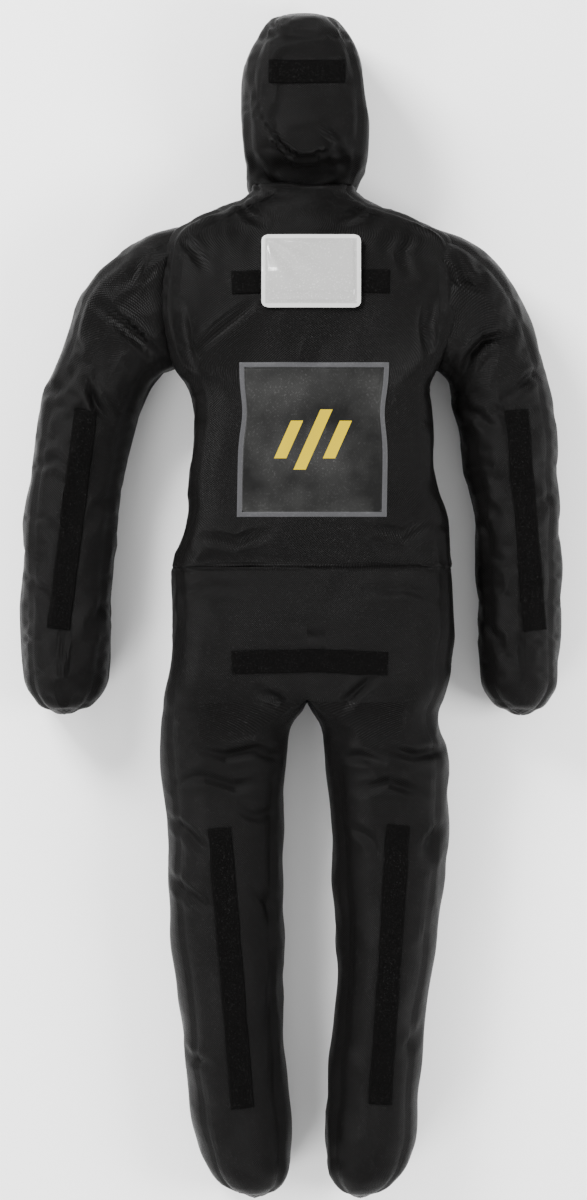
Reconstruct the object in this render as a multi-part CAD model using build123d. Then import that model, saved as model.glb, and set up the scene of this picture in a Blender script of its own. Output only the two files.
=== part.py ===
from build123d import *
import math
import os

os.makedirs("parts", exist_ok=True)

# Stuffed dummy lying on its back: +Z out of the chest, +Y to the head, floor at Z = 0.
# "right" and "left" are the dummy's own sides; its right side lies at -X.

# Fabric and clearances
CLOTH = 2.0            # lined fabric cover
AIR = 0.8              # room between two bodies at a flex line
ARM_AIR = 3.4          # the same where the arm's tape swings past the shoulder
SEAM = 0.2929          # seam height as a share of the edge rounding (45 degrees round)

# Depths and edge roundings
TRUNK_DEPTH = 130.0
TRUNK_ROUND = 36.0
HEAD_DEPTH = 125.0
HEAD_ROUND = 20.0
ARM_DEPTH = 88.0
ARM_ROUND = 24.0
LEG_DEPTH = 104.0
LEG_ROUND = 28.0

# Flex lines: place in plan, height, knuckle radius, bend the covers are cut back for
NECK_Y = 478.0
NECK_X = 13.0
NECK_RADIUS = 45.0
NECK_BEND = 30.0
WAIST_Y = 57.0
WAIST_X = 23.0
WAIST_BEND = 40.0
HIP_Y = -160.0
HIP_BEND = 80.0
SHOULDER_BEND = 90.0
SHOULDER_TILT = 30.0
RIGHT_SHOULDER = (-207.0, 244.0)
LEFT_SHOULDER = (233.5, 244.0)

# Hook-and-loop strips, print and card pocket
STRIP = 2.5
TAPE = 25.0
PRINT_SIZE = (160.0, 165.0)
PRINT_AT = (23.0, 178.0)
PRINT_EDGE = 6.0
PRINT_THICK = 0.8
POCKET_SIZE = (106.0, 78.5)
POCKET_AT = (21.0, 358.0)
POCKET_CORNER = 7.0
POCKET_RIM = 6.0
CARD_SIZE = (92.0, 64.0)

# Plan outlines, each with the radius of its corners
HEAD_CORNER = 26.0
HEAD_OUTLINE = [
    (-30, 639), (44, 639), (68, 606), (80, 560), (84, 520), (82, 480), (70, 440), (70, 350),
    (-44, 350), (-44, 440), (-54, 480), (-56, 520), (-54, 560), (-44, 606),
]
TRUNK_CORNER = 40.0
TORSO_OUTLINE = [
    (-46, 560), (72, 560), (72, 458), (108, 428), (172, 404), (179, 340), (170, 285),
    (151, 232), (151, 185), (166, 100), (174, 42), (176, -80), (-130, -80), (-129, 42),
    (-113, 100), (-105, 190), (-109, 232), (-130, 285), (-137, 340), (-130, 400),
    (-78, 428), (-46, 458),
]
PELVIS_OUTLINE = [
    (-105, 210), (150, 210), (174, 42), (177, -10), (164, -110), (168, -240), (-140, -240),
    (-137, -110), (-128, -10), (-129, 42),
]
LEG_CORNER = 38.0
RIGHT_LEG_OUTLINE = [
    (-128, 20), (-18, 20), (-6, -110), (-9, -240), (-10, -371), (-4, -515), (3, -575),
    (-8, -639), (-88, -639), (-108, -550), (-127, -371), (-137, -220), (-141, -130),
]
LEFT_LEG_OUTLINE = [
    (52, 20), (156, 20), (166, -100), (171, -190), (160, -328), (143, -479), (134, -560),
    (122, -639), (44, -639), (35, -580), (37, -530), (49, -409), (44, -260), (37, -130),
]
ARM_CORNER = 29.0
RIGHT_ARM_OUTLINE = [
    (-75, 392), (-165, 397), (-213, 362), (-243, 300), (-270, 212), (-286, 100), (-291, 0),
    (-286, -115), (-204, -115), (-194, -20), (-181, 131), (-168, 200), (-128, 262), (-75, 290),
]
LEFT_ARM_OUTLINE = [
    (117, 392), (188, 397), (233, 360), (264, 299), (286, 191), (290, 100), (291, 0),
    (288, -115), (208, -115), (200, -20), (182, 169), (169, 212), (154, 254), (117, 284),
]


def bag(points, corner, depth, rounding, shrink):
    """Closed boxed cushion on an outline: flat front and back, rounded edges."""
    sheet = Polygon(*points, align=None)
    sheet = fillet(sheet.vertices(), corner)
    if shrink > 0:
        sheet = offset(sheet, amount=-shrink)
    block = extrude(sheet, amount=depth - 2 * shrink, dir=(0, 0, 1))
    groups = block.edges().group_by(Axis.Z)
    block = fillet(groups[0] + groups[-1], rounding - shrink)
    return Pos(0, 0, shrink) * block


def hinge_frame(x, y, z, turn):
    """Frame on a flex line: local x along it, local +y towards the fixed body."""
    return Pos(x, y, z) * Rot(0, 0, turn)


def along(frame, profile, length):
    """Side profile drawn in local y and z, drawn out along the flex line."""
    return frame * extrude(Plane.YZ * profile, amount=length / 2, both=True)


def knuckle(frame, radius, length):
    """Space of the moving segment: everything past the flex line plus a half-round end."""
    far = along(frame, Pos(-500, 0) * Rectangle(1000, 600), 800)
    return far + along(frame, Circle(radius), length)


def swept(frame, radius, chin, length, bend, grow, mouth):
    """Space the moving segment needs in the fixed body, grown by a clearance."""
    r = radius + grow
    s = math.sin(math.radians(bend))
    c = math.cos(math.radians(bend))
    tall = 160.0
    if chin > radius:
        t = chin + grow
        rim = [(t * s, t * c), (t * s, tall)]
    else:
        rim = [(r * s - (tall - r * c) * c / s, tall)]
    low = -radius - 5
    points = [(-300, low), (mouth, low), (mouth, 0), (r * s, r * c)] + rim + [(-300, tall)]
    profile = Polygon(*points, align=None) + Circle(r)
    return along(frame, profile, length + 2 * grow)


def largest(shape):
    """The main solid of a result."""
    return max(shape.solids(), key=lambda s: s.volume)


def save(name, shape):
    """Write one node."""
    export_step(shape, "parts/" + name + ".step")


def slice_cover(name, cover, depth, rounding):
    """Cut a cover along its two seams into front panel, side gusset and back panel."""
    low = SEAM * rounding
    high = depth - SEAM * rounding
    wide = 3000.0
    front = cover & (Pos(0, 0, high + 500) * Box(wide, wide, 1000))
    side = cover & (Pos(0, 0, (low + high) / 2) * Box(wide, wide, high - low))
    back = cover & (Pos(0, 0, low - 500) * Box(wide, wide, 1000))
    save(name + "_front_panel", largest(front))
    save(name + "_side_gusset", largest(side))
    save(name + "_back_panel", largest(back))


neck = hinge_frame(NECK_X, NECK_Y, NECK_RADIUS, 180)
waist = hinge_frame(WAIST_X, WAIST_Y, TRUNK_DEPTH / 2, 0)
hips = hinge_frame(16, HIP_Y, LEG_DEPTH / 2, 0)
right_shoulder = hinge_frame(*RIGHT_SHOULDER, ARM_DEPTH / 2, -SHOULDER_TILT)
left_shoulder = hinge_frame(*LEFT_SHOULDER, ARM_DEPTH / 2, SHOULDER_TILT)


def trunk_room(grow):
    """What the head and the pelvis need inside the torso."""
    chin = HEAD_DEPTH - NECK_RADIUS
    head_room = swept(neck, NECK_RADIUS, chin, 180, NECK_BEND, grow, 16)
    return head_room + swept(waist, TRUNK_DEPTH / 2, 0, 500, WAIST_BEND, grow, 22)


def arm_room(frame, grow):
    """What one arm needs inside the shoulder."""
    return swept(frame, ARM_DEPTH / 2, 0, 154, SHOULDER_BEND, grow, 18)


def hip_room(grow):
    """What both legs need inside the pelvis."""
    return swept(hips, LEG_DEPTH / 2, 0, 500, HIP_BEND, grow, 46)


# Head
head_outer = bag(HEAD_OUTLINE, HEAD_CORNER, HEAD_DEPTH, HEAD_ROUND, 0)
head_inner = bag(HEAD_OUTLINE, HEAD_CORNER, HEAD_DEPTH, HEAD_ROUND, CLOTH)
head_skin = head_outer & knuckle(neck, NECK_RADIUS, 400)
head_fill = head_inner & knuckle(neck, NECK_RADIUS - CLOTH, 400)
slice_cover("head", head_skin - head_fill, HEAD_DEPTH, HEAD_ROUND)
save("head_filling", largest(head_fill))

# Torso
torso_outer = bag(TORSO_OUTLINE, TRUNK_CORNER, TRUNK_DEPTH, TRUNK_ROUND, 0)
torso_inner = bag(TORSO_OUTLINE, TRUNK_CORNER, TRUNK_DEPTH, TRUNK_ROUND, CLOTH)
torso_skin = torso_outer - trunk_room(AIR)
torso_fill = torso_inner - trunk_room(AIR + CLOTH)
for shoulder in (right_shoulder, left_shoulder):
    torso_skin = torso_skin - arm_room(shoulder, ARM_AIR)
    torso_fill = torso_fill - arm_room(shoulder, ARM_AIR + CLOTH)
slice_cover("torso", torso_skin - torso_fill, TRUNK_DEPTH, TRUNK_ROUND)
save("torso_filling", largest(torso_fill))

# Pelvis
pelvis_outer = bag(PELVIS_OUTLINE, TRUNK_CORNER, TRUNK_DEPTH, TRUNK_ROUND, 0)
pelvis_inner = bag(PELVIS_OUTLINE, TRUNK_CORNER, TRUNK_DEPTH, TRUNK_ROUND, CLOTH)
pelvis_skin = (pelvis_outer & knuckle(waist, TRUNK_DEPTH / 2, 500)) - hip_room(AIR)
pelvis_fill = pelvis_inner & knuckle(waist, TRUNK_DEPTH / 2 - CLOTH, 500)
pelvis_fill = pelvis_fill - hip_room(AIR + CLOTH)
slice_cover("pelvis", pelvis_skin - pelvis_fill, TRUNK_DEPTH, TRUNK_ROUND)
save("pelvis_filling", largest(pelvis_fill))

# Legs
for side, outline in (("right", RIGHT_LEG_OUTLINE), ("left", LEFT_LEG_OUTLINE)):
    leg_outer = bag(outline, LEG_CORNER, LEG_DEPTH, LEG_ROUND, 0)
    leg_inner = bag(outline, LEG_CORNER, LEG_DEPTH, LEG_ROUND, CLOTH)
    leg_skin = leg_outer & knuckle(hips, LEG_DEPTH / 2, 600)
    leg_fill = leg_inner & knuckle(hips, LEG_DEPTH / 2 - CLOTH, 600)
    slice_cover(side + "_leg", leg_skin - leg_fill, LEG_DEPTH, LEG_ROUND)
    save(side + "_leg_filling", largest(leg_fill))

# Arms with the shoulder caps that stay on the torso
for side, outline, frame in (
    ("right", RIGHT_ARM_OUTLINE, right_shoulder),
    ("left", LEFT_ARM_OUTLINE, left_shoulder),
):
    arm_outer = bag(outline, ARM_CORNER, ARM_DEPTH, ARM_ROUND, 0)
    arm_inner = bag(outline, ARM_CORNER, ARM_DEPTH, ARM_ROUND, CLOTH)
    arm_skin = arm_outer & knuckle(frame, ARM_DEPTH / 2, 132)
    arm_fill = arm_inner & knuckle(frame, ARM_DEPTH / 2 - CLOTH, 128)
    slice_cover(side + "_arm", arm_skin - arm_fill, ARM_DEPTH, ARM_ROUND)
    save(side + "_arm_filling", largest(arm_fill))
    upper = frame * Pos(0, 300, 0) * Box(800, 600, 400)
    cap_skin = largest((arm_outer & upper) - torso_outer - arm_room(frame, ARM_AIR))
    cap_fill = largest((arm_inner & upper) - torso_outer - arm_room(frame, ARM_AIR + CLOTH))
    save(side + "_shoulder_cover", largest(cap_skin - cap_fill))
    save(side + "_shoulder_filling", cap_fill)


def strip(x1, y1, x2, y2, z):
    """Flat tape between two plan points."""
    length = math.hypot(x2 - x1, y2 - y1)
    turn = math.degrees(math.atan2(y2 - y1, x2 - x1))
    place = Pos((x1 + x2) / 2, (y1 + y2) / 2, z + STRIP / 2) * Rot(0, 0, turn)
    return place * Box(length, TAPE, STRIP)


save("forehead_strip", strip(-25, 571, 56, 571, HEAD_DEPTH))
save("chest_strip", strip(-63, 346, 105, 346, TRUNK_DEPTH))
save("pelvis_strip", strip(-63, -60, 102, -60, TRUNK_DEPTH))
save("right_arm_strip", strip(-221, 205, -250, -24, ARM_DEPTH))
save("left_arm_strip", strip(243, 205, 262, -26, ARM_DEPTH))
save("right_leg_strip", strip(-77, -237, -52, -538, LEG_DEPTH))
save("left_leg_strip", strip(114, -234, 95, -535, LEG_DEPTH))

# Printed panel: a frame line round a plain field
print_place = Pos(*PRINT_AT, TRUNK_DEPTH + PRINT_THICK / 2)
field = Box(PRINT_SIZE[0] - 2 * PRINT_EDGE, PRINT_SIZE[1] - 2 * PRINT_EDGE, PRINT_THICK)
save("print_frame", print_place * (Box(*PRINT_SIZE, PRINT_THICK) - field))
save("print_field", print_place * field)


def plate(size, corner, low, thick):
    """Rounded sheet of the card pocket."""
    return Pos(*POCKET_AT, low) * extrude(RectangleRounded(*size, corner), amount=thick)


# Card pocket: hook strip, back sheet, card and clear front with its welded rim
hook_low = TRUNK_DEPTH + STRIP + 0.4
back_low = hook_low + STRIP
card_low = back_low + 0.6
front_low = card_low + 0.8
hook = Pos(POCKET_AT[0], 346, hook_low + STRIP / 2) * Box(POCKET_SIZE[0] - 6, TAPE, STRIP)
save("pocket_hook_strip", hook)
save("pocket_back_sheet", plate(POCKET_SIZE, POCKET_CORNER, back_low, 0.6))
save("pocket_card", plate(CARD_SIZE, 2.0, card_low, 0.6))
window = plate(POCKET_SIZE, POCKET_CORNER, card_low, 1.6)
hollow_size = (POCKET_SIZE[0] - 2 * POCKET_RIM, POCKET_SIZE[1] - 2 * POCKET_RIM)
window = window - plate(hollow_size, 3.0, card_low, 0.8)
save("pocket_front_sheet", window)
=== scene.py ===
"""Stuffed practice dummy lying on its back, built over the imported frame."""

import logging
import math
from dataclasses import dataclass, field
from enum import Enum

import bpy
import numpy as np
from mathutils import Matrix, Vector
from mathutils.bvhtree import BVHTree

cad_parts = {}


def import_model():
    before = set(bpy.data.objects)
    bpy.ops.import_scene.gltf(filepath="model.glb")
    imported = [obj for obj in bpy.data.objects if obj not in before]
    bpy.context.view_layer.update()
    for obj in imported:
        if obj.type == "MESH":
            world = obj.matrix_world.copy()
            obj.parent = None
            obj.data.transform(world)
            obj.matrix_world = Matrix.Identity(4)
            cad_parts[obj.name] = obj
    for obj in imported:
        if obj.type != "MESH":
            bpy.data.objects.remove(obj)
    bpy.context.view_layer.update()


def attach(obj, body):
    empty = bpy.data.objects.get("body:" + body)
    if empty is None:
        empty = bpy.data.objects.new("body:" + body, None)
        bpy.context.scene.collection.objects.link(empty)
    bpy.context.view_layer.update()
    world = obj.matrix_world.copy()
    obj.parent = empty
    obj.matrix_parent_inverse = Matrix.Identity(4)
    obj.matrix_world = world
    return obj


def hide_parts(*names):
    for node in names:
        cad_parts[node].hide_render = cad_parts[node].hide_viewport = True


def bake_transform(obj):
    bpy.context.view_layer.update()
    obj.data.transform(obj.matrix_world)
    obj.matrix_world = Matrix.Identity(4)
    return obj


LOG = logging.getLogger("dummy")
MM = 0.001
MIDDLE = 16.5  # X of the line where the two halves of the trousers meet, in millimetres
HIP_TOP = -0.101  # Y where the legs' bend starts and their panels are sewn on, in metres
CREASE_GAIN = 1.75  # how much deeper creases are drawn than their own depth
MAT_GAP = 0.0003  # lowest the cover comes, in metres
HELD_BELOW = 0.012  # height under which the cover is held while it settles, in metres
SETTLE_FRAMES = 20  # length of the cloth simulation
SETTLE_CAP = 6.0  # most that it may move the cover, in millimetres
SETTLE_SIDE = 0.45  # share of its movement kept where the cover faces sideways
FILLING_DEPTH = 12.0  # how far the filling is drawn in under the cover, in millimetres
VIEW_HEIGHT = 1.296  # height of the camera's view, in metres
VIEW_LEVEL = 0.07  # height above the mat at which the view has that size, in metres


class Panel(Enum):
    """Part of a boxed cushion's cover."""

    FRONT = "front_panel"
    GUSSET = "side_gusset"
    BACK = "back_panel"


class Side(Enum):
    """The dummy's own side, with its sign along X."""

    RIGHT = -1
    LEFT = 1

    @property
    def word(self) -> str:
        """Name used in piece names."""
        return self.name.lower()


@dataclass(frozen=True)
class Finish:
    """Surface finish of one material.

    Args:
        name: Material name.
        color: Base colour, linear RGB.
        roughness: Microscopic roughness.
        sheen: Weight of the fuzzy edge light.
        coat: Weight of a clear coat.
        specular: Strength of the plain reflection.
        weave: Pitch of the woven thread in metres, 0 for none.
        relief: Height of the woven relief in metres.
        pile: Strength of loop pile, 0 for none; its highest tips get a painted highlight.
        thread: How many times brighter the tops of the threads are painted, a painted highlight.
        cloud: How many times brighter broad patches are painted, as painted sheen, 0 for none.
    """

    name: str
    color: tuple[float, float, float]
    roughness: float
    sheen: float = 0.0
    coat: float = 0.0
    specular: float = 0.5
    weave: float = 0.0
    relief: float = 0.0
    pile: float = 0.0
    thread: float = 5.0
    cloud: float = 0.0


CLOTH = Finish("black pack cloth", (0.00105, 0.00098, 0.00096), 0.4, 0.003, 0.0, 0.05, 0.0012, 0.0003)
GUSSET = Finish("black gusset cloth", (0.0012, 0.00112, 0.0011), 0.4, 0.003, 0.0, 0.05, 0.0012, 0.0003)
LOOP = Finish("loop pile tape", (0.0009, 0.00084, 0.00082), 0.92, 0.006, 0.0, 0.03, 0.0, 0.0, 1.0)
HOOK = Finish("hook tape", (0.012, 0.012, 0.012), 0.8, 0.0, 0.0, 0.3, 0.0014, 0.0004)
FRAME_INK = Finish("grey print", (0.032, 0.032, 0.034), 0.5, 0.0, 0.0, 0.2, 0.0012, 0.00006, thread=1.2)
# The dark print's broad lighter patches are painted sheen on its satin.
FIELD_INK = Finish(
    "dark print", (0.0032, 0.0032, 0.0031), 0.4, 0.0, 0.0, 0.12, 0.0012, 0.00004, thread=1.3, cloud=5.5
)
BAR_INK = Finish("yellow print", (0.36, 0.265, 0.0), 0.7, 0.0, 0.0, 0.05, 0.0012, 0.00008, thread=1.1)
VINYL = Finish("clear vinyl", (0.27, 0.268, 0.262), 0.26, 0.0, 0.2, 0.4)
SHEET = Finish("pocket back sheet", (0.55, 0.54, 0.51), 0.5)
CARD = Finish("white card", (0.83, 0.81, 0.76), 0.7)
STUFFING = Finish("textile filling", (0.45, 0.43, 0.4), 0.95, 0.1)


def smooth(t: np.ndarray) -> np.ndarray:
    """Cubic ease from 0 to 1.

    Args:
        t: Values, clamped to 0..1.

    Returns:
        3t^2 - 2t^3.
    """
    t = np.clip(t, 0.0, 1.0)
    return t * t * (3.0 - 2.0 * t)


def ripple(points: np.ndarray, wavelength: float, seed: int, waves: int = 9) -> np.ndarray:
    """Smooth random field: a sum of plane waves in random directions.

    Args:
        points: Positions, (..., 3).
        wavelength: Typical distance between crests in metres.
        seed: Which field.
        waves: Number of waves added.

    Returns:
        Values of about -1 to 1, shape (...).
    """
    rng = np.random.default_rng(seed)
    total = np.zeros(points.shape[:-1])
    for _ in range(waves):
        way = rng.normal(size=3)
        way /= np.linalg.norm(way)
        length = wavelength * rng.uniform(0.7, 1.5)
        total += np.sin(points @ way * (2 * math.pi / length) + rng.uniform(0, 2 * math.pi))
    return total / math.sqrt(waves) / 1.4


def spline_rows(rows: np.ndarray, spacing: float) -> np.ndarray:
    """Catmull-Rom curve through control rows, resampled to an even spacing.

    Args:
        rows: Control rows, the first four columns two plan points in metres.
        spacing: Distance between samples along the mean line.

    Returns:
        Sampled rows, from the first control row to the last.
    """
    first = 2 * rows[0] - rows[1]
    last = 2 * rows[-1] - rows[-2]
    padded = np.vstack([first, rows, last])
    dense = []
    for a, b, c, d in zip(padded, padded[1:], padded[2:], padded[3:]):
        t = np.linspace(0, 1, 24, endpoint=False)[:, None]
        dense.append(
            0.5
            * (
                2 * b
                + (c - a) * t
                + (2 * a - 5 * b + 4 * c - d) * t**2
                + (3 * b - a - 3 * c + d) * t**3
            )
        )
    dense = np.vstack(dense + [rows[-1:]])
    outer = np.linalg.norm(np.diff(dense[:, 2:4], axis=0), axis=1)
    inner = np.linalg.norm(np.diff(dense[:, 0:2], axis=0), axis=1)
    run = np.concatenate([[0], np.cumsum(0.5 * (outer + inner))])
    count = max(4, int(round(run[-1] / spacing)))
    at = np.linspace(0, run[-1], count + 1)
    return np.stack([np.interp(at, run, dense[:, k]) for k in range(dense.shape[1])], axis=1)


@dataclass(frozen=True)
class Fold:
    """Crease in the front of the cover along a line in plan.

    Args:
        line: Plan points in millimetres.
        width: Half width of the valley in millimetres.
        depth: Depth of the valley in millimetres; a negative depth is a ridge.
        lift: Height of the swelling beside it, as a share of the depth.
    """

    line: tuple[tuple[float, float], ...]
    width: float
    depth: float
    lift: float = 0.45

    def height(self, plan: np.ndarray) -> np.ndarray:
        """Height the crease adds at plan positions.

        The distance to the nearest stretch of the line gives a rounded valley with a
        swelling on each side. Both fade to a quarter over the line's first and last third.

        Args:
            plan: Positions in metres, (..., 2).

        Returns:
            Height in metres.
        """
        points = np.array(self.line) * MM
        lengths = np.linalg.norm(np.diff(points, axis=0), axis=1)
        total = lengths.sum()
        best = np.full(plan.shape[:-1], np.inf)
        where = np.zeros(plan.shape[:-1])
        before = 0.0
        for a, b, length in zip(points, points[1:], lengths):
            t = np.clip(((plan - a) @ (b - a)) / length**2, 0, 1)
            gap = np.linalg.norm(plan - (a + t[..., None] * (b - a)), axis=-1)
            closer = gap < best
            best = np.where(closer, gap, best)
            where = np.where(closer, (before + t * length) / total, where)
            before += length
        w = self.width * MM
        fade = np.clip(np.minimum(where, 1 - where) / 0.33, 0, 1) * 0.75 + 0.25
        fade *= np.exp(-np.clip(best - w, 0, None) ** 2 / (6 * w * w))
        valley = -np.exp(-((best / w) ** 2))
        swelling = self.lift * np.exp(-(((best - 2.0 * w) / (1.1 * w)) ** 2))
        return self.depth * MM * fade * (valley + swelling)


@dataclass
class Tube:
    """Closed boxed cushion drawn between two edges in plan.

    Every cross-section stands upright on the line from the inner to the outer edge. It is
    a rectangle with one corner radius on the inner and one on the outer side, and its
    front and back swell a little. The far end is closed by the same rounding.

    Args:
        name: Name of the segment.
        rows: Control rows in millimetres: inner x, y, outer x, y, low, high, inner
            rounding, outer rounding, share of a half body (1 where the inner edge is the
            body's middle).
        end: Rounding of the far end in millimetres: along, across, in height.
        end_way: Plan direction of the far end.
        lip: Rounding of the near end in millimetres.
        lip_end: True if the far end is a plain lip, with no gusset over it.
        swell: Swelling of the front in millimetres.
        cell: Size of a mesh cell in metres.
        corner_cells: Cells over half a corner.
        front_cells: Cells across the front and across the back.
        side_cells: Cells up each side.
    """

    name: str
    rows: np.ndarray
    end: tuple[float, float, float]
    end_way: tuple[float, float]
    lip: float = 5.0
    lip_end: bool = False
    swell: float = 5.0
    cell: float = 0.003
    corner_cells: int = 6
    front_cells: int = 44
    side_cells: int = 14

    def __post_init__(self) -> None:
        """Draw the rings."""
        rows = np.array(self.rows, float)
        rows[:, :8] *= MM
        body = spline_rows(rows, self.cell)
        self.start_count = 0
        parts = [body]
        if self.lip > 0:
            parts.insert(0, self._rounding(body[0], body[1], (self.lip,) * 3, None)[::-1])
            self.start_count = len(parts[0])
        tail = self._rounding(body[-1], body[-2], self.end, self.end_way, not self.lip_end)
        reach = 1 if self.lip_end else 0.72
        self.end_seam = self.start_count + len(body) + int(len(tail) * reach)
        self.body_end = self.start_count + len(body)
        parts.append(tail)
        stations = np.vstack(parts)
        near = self._closing(stations[0])[::-1]
        far = self._closing(stations[-1])
        self.near_count = len(near)
        self.start_count += self.near_count
        self.end_seam += self.near_count
        self.body_end += self.near_count
        stations = np.vstack([near, stations, far])
        self.stations = stations
        self.points = self._rings(stations)

    def _rounding(
        self,
        row: np.ndarray,
        before: np.ndarray,
        radii: tuple[float, float, float],
        way: tuple[float, float] | None,
        tapers: bool = False,
    ) -> np.ndarray:
        """Rows that round off an end over a quarter turn.

        Args:
            row: Station that the rounding starts from.
            before: Its neighbour inside the body.
            radii: Rounding in millimetres: along, across, in height.
            way: Plan direction of the end, None to carry on straight.
            tapers: True to carry on the lean of both edges.

        Returns:
            The stations, from the body outwards.
        """
        along, across, height = (r * MM for r in radii)
        middle = 0.5 * (row[0:2] + row[2:4])
        if way is None:
            way = middle - 0.5 * (before[0:2] + before[2:4])
        way = np.array(way, float) / np.linalg.norm(way)
        count = max(3, int(round(1.3 * max(along, height) / self.cell)))
        out = []
        width = np.linalg.norm(row[2:4] - row[0:2])
        across = min(across, 0.46 * width)
        height = min(height, 0.44 * (row[5] - row[4]))
        cross = (row[2:4] - row[0:2]) / width
        step = max(np.linalg.norm(middle - 0.5 * (before[0:2] + before[2:4])), 1e-6)
        lean_in = np.clip((row[0:2] - before[0:2]) @ cross / step, 0, 0.6) if tapers else 0.0
        lean_out = np.clip(-(row[2:4] - before[2:4]) @ cross / step, 0, 0.6) if tapers else 0.0
        for i in range(1, count + 1):
            a = 0.5 * math.pi * i / count
            r = row.copy()
            shrink = across * (1 - math.cos(a))
            forward = along * math.sin(a)
            r[0:2] = row[0:2] + cross * (shrink + lean_in * forward) + way * forward
            r[2:4] = row[2:4] - cross * (shrink + lean_out * forward) + way * forward
            r[4] = row[4] + height * (1 - math.cos(a))
            r[5] = row[5] - height * (1 - math.cos(a))
            r[6:8] = np.maximum(row[6:8] * (1 - 0.5 * math.sin(a)), 0.00001)
            out.append(r)
        return np.array(out)

    def _closing(self, row: np.ndarray) -> np.ndarray:
        """Rows that draw an end wall together to a line.

        Args:
            row: Last station before the wall.

        Returns:
            The stations, the last one without height.
        """
        out = []
        for share in (0.72, 0.44, 0.2, 0.0):
            r = row.copy()
            middle = 0.5 * (row[4] + row[5])
            r[4] = middle + (row[4] - middle) * share
            r[5] = middle + (row[5] - middle) * share
            out.append(r)
        return np.array(out)

    def _rings(self, s: np.ndarray) -> np.ndarray:
        """Ring of points for each station.

        Args:
            s: The stations.

        Returns:
            (stations, ring, 3) positions in metres.
        """
        width = np.linalg.norm(s[:, 2:4] - s[:, 0:2], axis=1)
        tall = np.maximum(s[:, 5] - s[:, 4], 1e-5)
        r_in = np.clip(s[:, 6], 1e-5, 0.46 * np.minimum(width, tall))
        r_out = np.minimum(s[:, 7], 0.46 * np.minimum(width, tall))
        k, f, g = self.corner_cells, self.front_cells, self.side_cells
        u, z = [], []

        def arc(cu: np.ndarray, cz: np.ndarray, r: np.ndarray, start: float, stop: float) -> None:
            """Half a corner round a centre, from one angle in degrees to another."""
            for i in range(k):
                a = math.radians(start + (stop - start) * i / k)
                u.append(cu + r * math.cos(a))
                z.append(cz + r * math.sin(a))

        def line(u0: np.ndarray, z0: np.ndarray, u1: np.ndarray, z1: np.ndarray, count: int) -> None:
            """Straight side between two points."""
            for i in range(count):
                t = i / count
                u.append(u0 + (u1 - u0) * t)
                z.append(z0 + (z1 - z0) * t)

        low, high = s[:, 4], s[:, 5]
        arc(r_in, high - r_in, r_in, 135, 90)
        line(r_in, high, width - r_out, high, f)
        arc(width - r_out, high - r_out, r_out, 90, 45)
        arc(width - r_out, high - r_out, r_out, 45, 0)
        line(width, high - r_out, width, low + r_out, g)
        arc(width - r_out, low + r_out, r_out, 0, -45)
        arc(width - r_out, low + r_out, r_out, -45, -90)
        line(width - r_out, low, r_in, low, f)
        arc(r_in, low + r_in, r_in, -90, -135)
        arc(r_in, low + r_in, r_in, -135, -180)
        line(np.zeros_like(width), low + r_in, np.zeros_like(width), high - r_in, g)
        arc(r_in, high - r_in, r_in, 180, 135)
        self.seams = [0, 2 * k + f, 4 * k + f + g, 6 * k + 2 * f + g, 8 * k + 2 * f + 2 * g]
        u = np.stack(u, axis=1)
        z = np.stack(z, axis=1)
        t = u / width[:, None]
        plan = s[:, None, 0:2] + t[..., None] * (s[:, None, 2:4] - s[:, None, 0:2])
        half = s[:, 8][:, None]
        share = half * (1 - t**2) + (1 - half) * 4 * t * (1 - t)
        up = np.clip((z - 0.5 * (low + high)[:, None]) / (0.5 * tall[:, None]), -1, 1)
        fade = np.clip(tall / 0.06, 0, 1)[:, None]
        z = z + self.swell * MM * fade * share * np.clip(up, 0, 1) ** 2
        return np.concatenate([plan, z[..., None]], axis=-1)

    def normals(self) -> np.ndarray:
        """Outward vertex normals of the grid, by differences along and around."""
        p = self.points
        around = np.roll(p, -1, axis=1) - np.roll(p, 1, axis=1)
        along = np.gradient(p, axis=0)
        n = np.cross(around, along)
        size = np.linalg.norm(n, axis=-1, keepdims=True)
        n = n / np.maximum(size, 1e-12)
        middle = p.mean(axis=1, keepdims=True)
        if ((p - middle) * n).sum() < 0:
            n = -n
        return n

    def faces(self, i0: int, i1: int, j0: int, j1: int) -> tuple[np.ndarray, np.ndarray]:
        """Point indices and quads of a stretch of the grid.

        Args:
            i0: First station.
            i1: Last station.
            j0: First ring index.
            j1: Last ring index, which may run past the ring's end.

        Returns:
            Grid of flat point indices, and quads as indices into that grid.
        """
        ring = self.points.shape[1]
        grid = np.arange(i0, i1 + 1)[:, None] * ring + (np.arange(j0, j1 + 1) % ring)[None, :]
        rows, cols = grid.shape
        a = np.arange(rows - 1)[:, None] * cols + np.arange(cols - 1)[None, :]
        quads = np.stack([a, a + cols, a + cols + 1, a + 1], axis=-1).reshape(-1, 4)
        return grid, quads


def build_mesh(name: str, verts: np.ndarray, quads: np.ndarray) -> bpy.types.Object:
    """Mesh object from arrays.

    Args:
        name: Object and mesh name.
        verts: (n, 3) positions in metres.
        quads: (m, 4) vertex indices.

    Returns:
        The new object, linked to the scene.
    """
    mesh = bpy.data.meshes.new(name)
    mesh.vertices.add(len(verts))
    mesh.vertices.foreach_set("co", np.asarray(verts, np.float32).ravel())
    mesh.loops.add(quads.size)
    mesh.loops.foreach_set("vertex_index", quads.astype(np.int32).ravel())
    mesh.polygons.add(len(quads))
    mesh.polygons.foreach_set("loop_start", np.arange(0, quads.size, 4, dtype=np.int32))
    mesh.update(calc_edges=True)
    mesh.validate()
    mesh.shade_smooth()
    obj = bpy.data.objects.new(name, mesh)
    bpy.context.scene.collection.objects.link(obj)
    return obj


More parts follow.
